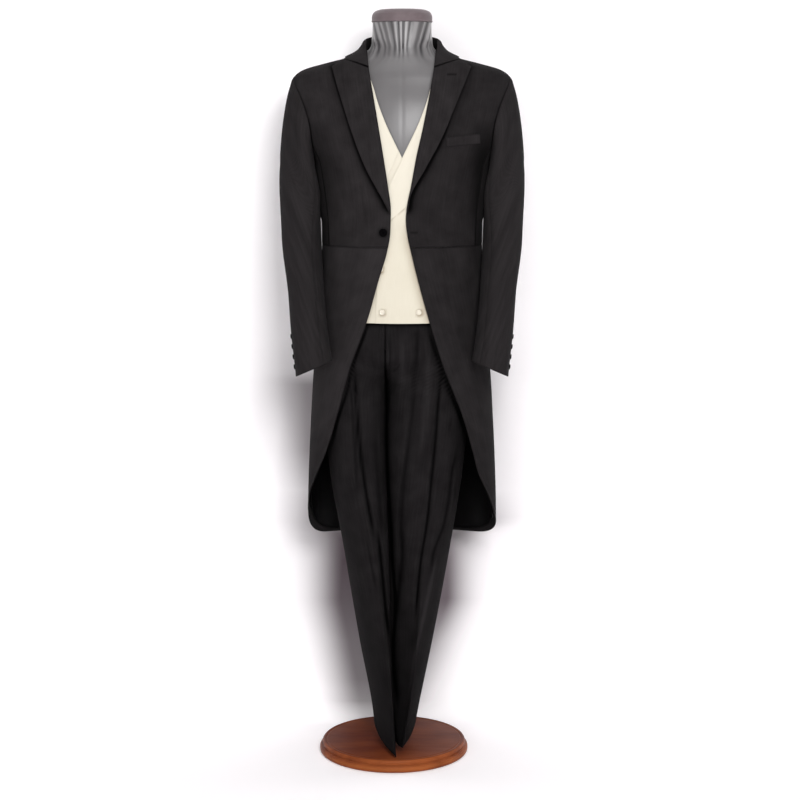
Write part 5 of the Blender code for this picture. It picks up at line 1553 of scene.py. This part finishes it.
def sleeve_ring(turn, z):
    """Level section of the sleeve: 0 is its outer side, a quarter turn the front."""
    outer, inner = curve(SLEEVE, "outer", z), curve(SLEEVE, "inner", z)
    x = 0.5 * (outer + inner) + 0.5 * (outer - inner) * np.cos(turn)
    x = x - curve(SLEEVE, "bulge", z) * np.clip(-np.sin(2 * turn), 0, 1) ** 2 * (np.sin(turn) > 0)
    y = curve(SLEEVE, "centre_y", z) - curve(SLEEVE, "half_depth", z) * np.sin(turn)
    return np.stack([x, y, z + 0 * turn], axis=-1)


def sleeve_surface(turn, t):
    """Sleeve from armhole to cuff: a cubic cap, then level sections."""
    t = np.clip(t, 0.0, 1.0)
    turn = turn + 0 * t
    top, low = coat_surface(*armhole_place(turn)), sleeve_ring(turn, SLEEVE_START + 0 * turn)
    top = top + np.array([0.0001, 0.0, 0.0])
    upper = 0.5 * (1 + np.cos(turn))[..., None]
    flare = np.array([0.072, 0.0, -0.015]) * upper + np.array([0.004, 0.0, -0.060]) * (1 - upper)
    flare = flare + np.stack([0 * turn, -0.045 * np.sin(turn), -0.085 * upper[..., 0] ** 3], axis=-1)
    step = 0.002
    drop = (sleeve_ring(turn, SLEEVE_START - step + 0 * turn) - low) / step
    drop = drop * (0.09 + 0.22 * upper)
    s = np.clip(t / CAP_SHARE, 0.0, 1.0)[..., None]
    cap = (top * (1 + 2 * s) * (1 - s) ** 2 + flare * s * (1 - s) ** 2
           + low * s ** 2 * (3 - 2 * s) + drop * s ** 2 * (s - 1))
    hem = CUFF_HIGH + (CUFF_LOW - CUFF_HIGH) * (0.5 + 0.5 * np.cos(turn + 0.35))
    share = np.clip((t - CAP_SHARE) / (1 - CAP_SHARE), 0.0, 1.0)
    lower = sleeve_ring(turn, SLEEVE_START + (hem - SLEEVE_START) * share)
    return np.where((t < CAP_SHARE)[..., None], cap, lower)


def seam_shift(t):
    """The hind seam turns towards the outer side on its way to the cuff."""
    return 0.95 * ease(t, 0.1, 0.8)


def sleeve_turns(stops, t):
    """Places round the sleeve: the armhole's own stops, turned with the seam."""
    stops = np.array(stops)[None, :]
    hind, forearm = ARMHOLE_BACK_STOPS[0], ARMHOLE_FRONT_STOPS[-1]
    weight = np.clip((stops - forearm) / (hind - forearm), 0, 1)
    over = np.clip((forearm + 2 * math.pi - stops) / (forearm + 2 * math.pi - hind), 0, 1)
    return stops + seam_shift(t) * np.where(stops > hind, over, weight)


def make_sleeve(side, word):
    """Topsleeve and undersleeve, seamed along the forearm and behind."""
    flip = np.array([side, 1.0, 1.0])
    t = finer([0.0, 0.01, CAP_SHARE, 0.985, 1.0], 40)
    t = np.unique(np.concatenate([t[::8][:6], t[40:-40], t[-40::8]]))[:, None]
    front = [2 * math.pi + stop for stop in ARMHOLE_FRONT_STOPS[1:]]
    for name, stops in (("topsleeve", ARMHOLE_BACK_STOPS + front), ("undersleeve", ARMHOLE_UNDER_STOPS)):
        turn = sleeve_turns(finer(stops, 7), t)
        turn[:, 0] += 0.003
        turn[:, -1] -= 0.003
        points = sleeve_surface(turn, t + 0 * turn)
        axis = sleeve_surface(np.pi / 2 + 0 * t, t) * 0.5 + sleeve_surface(3 * np.pi / 2 + 0 * t, t) * 0.5
        relief = creases(SLEEVE_CREASES, points[..., 0], points[..., 2]) * ease(t, 0.02, 0.10)
        relief = relief + 0.0012 * bell(t - 0.03, 0.02) * ease(np.cos(turn), 0.0, 0.8)
        cloth(f"{name}_{word}", points * flip, COAT_WALL, coat_cloth, f"coat_{name}_{word}",
              axis * flip, sewn="LRB", relief=relief)


for hand, hand_word in HANDS:
    make_sleeve(hand, hand_word)

# Coat buttons
# Black horn: one at the front, two at the back of the waist above the pleats,
# and four on each cuff along the hind seam.
COAT_BUTTON_RADIUS = 0.0085
COAT_BUTTON_LIFT = 0.0007
CUFF_BUTTON_RADIUS = 0.0060
# Shares of the sleeve's length from the armhole to the cuff, then a turn round it
CUFF_BUTTON_LOWEST = 0.966
CUFF_BUTTON_STEP = 0.033
CUFF_BUTTON_TURN = 0.32
WAIST_BUTTON_X = 0.0450
WAIST_BUTTON_RISE = 0.004
horn_finish, _, _ = clouded(
    "horn_button", dark=(0.0006, 0.0005, 0.0007), light=(0.0028, 0.0024, 0.0028), rough=0.42, spread=0.2,
    scale=220.0, stretch=(1.0, 1.0, 0.3), Specular_IOR_Level=0.01)
button_on("coat_front_button", -0.0400, 1.1800, 0.0, COAT_BUTTON_RADIUS, COAT_BUTTON_LIFT, horn_finish)
for hand, hand_word in HANDS:
    button_on(f"coat_waist_button_{hand_word}", hand * WAIST_BUTTON_X, WAIST_SEAM + WAIST_BUTTON_RISE, 0.0,
              COAT_BUTTON_RADIUS, COAT_BUTTON_LIFT, horn_finish, back=True)
    for number in range(4):
        cuff_t = np.array(CUFF_BUTTON_LOWEST - CUFF_BUTTON_STEP * number)
        cuff_turn = ARMHOLE_BACK_STOPS[0] + seam_shift(cuff_t) + CUFF_BUTTON_TURN
        flip = np.array([hand, 1.0, 1.0])
        button(f"cuff_button_{hand_word}_{number + 1}", sleeve_surface(cuff_turn, cuff_t) * flip,
               outward(sleeve_surface, cuff_turn, cuff_t, 0.002) * flip, CUFF_BUTTON_RADIUS,
               0.0010 - 0.00015 * number, horn_finish)
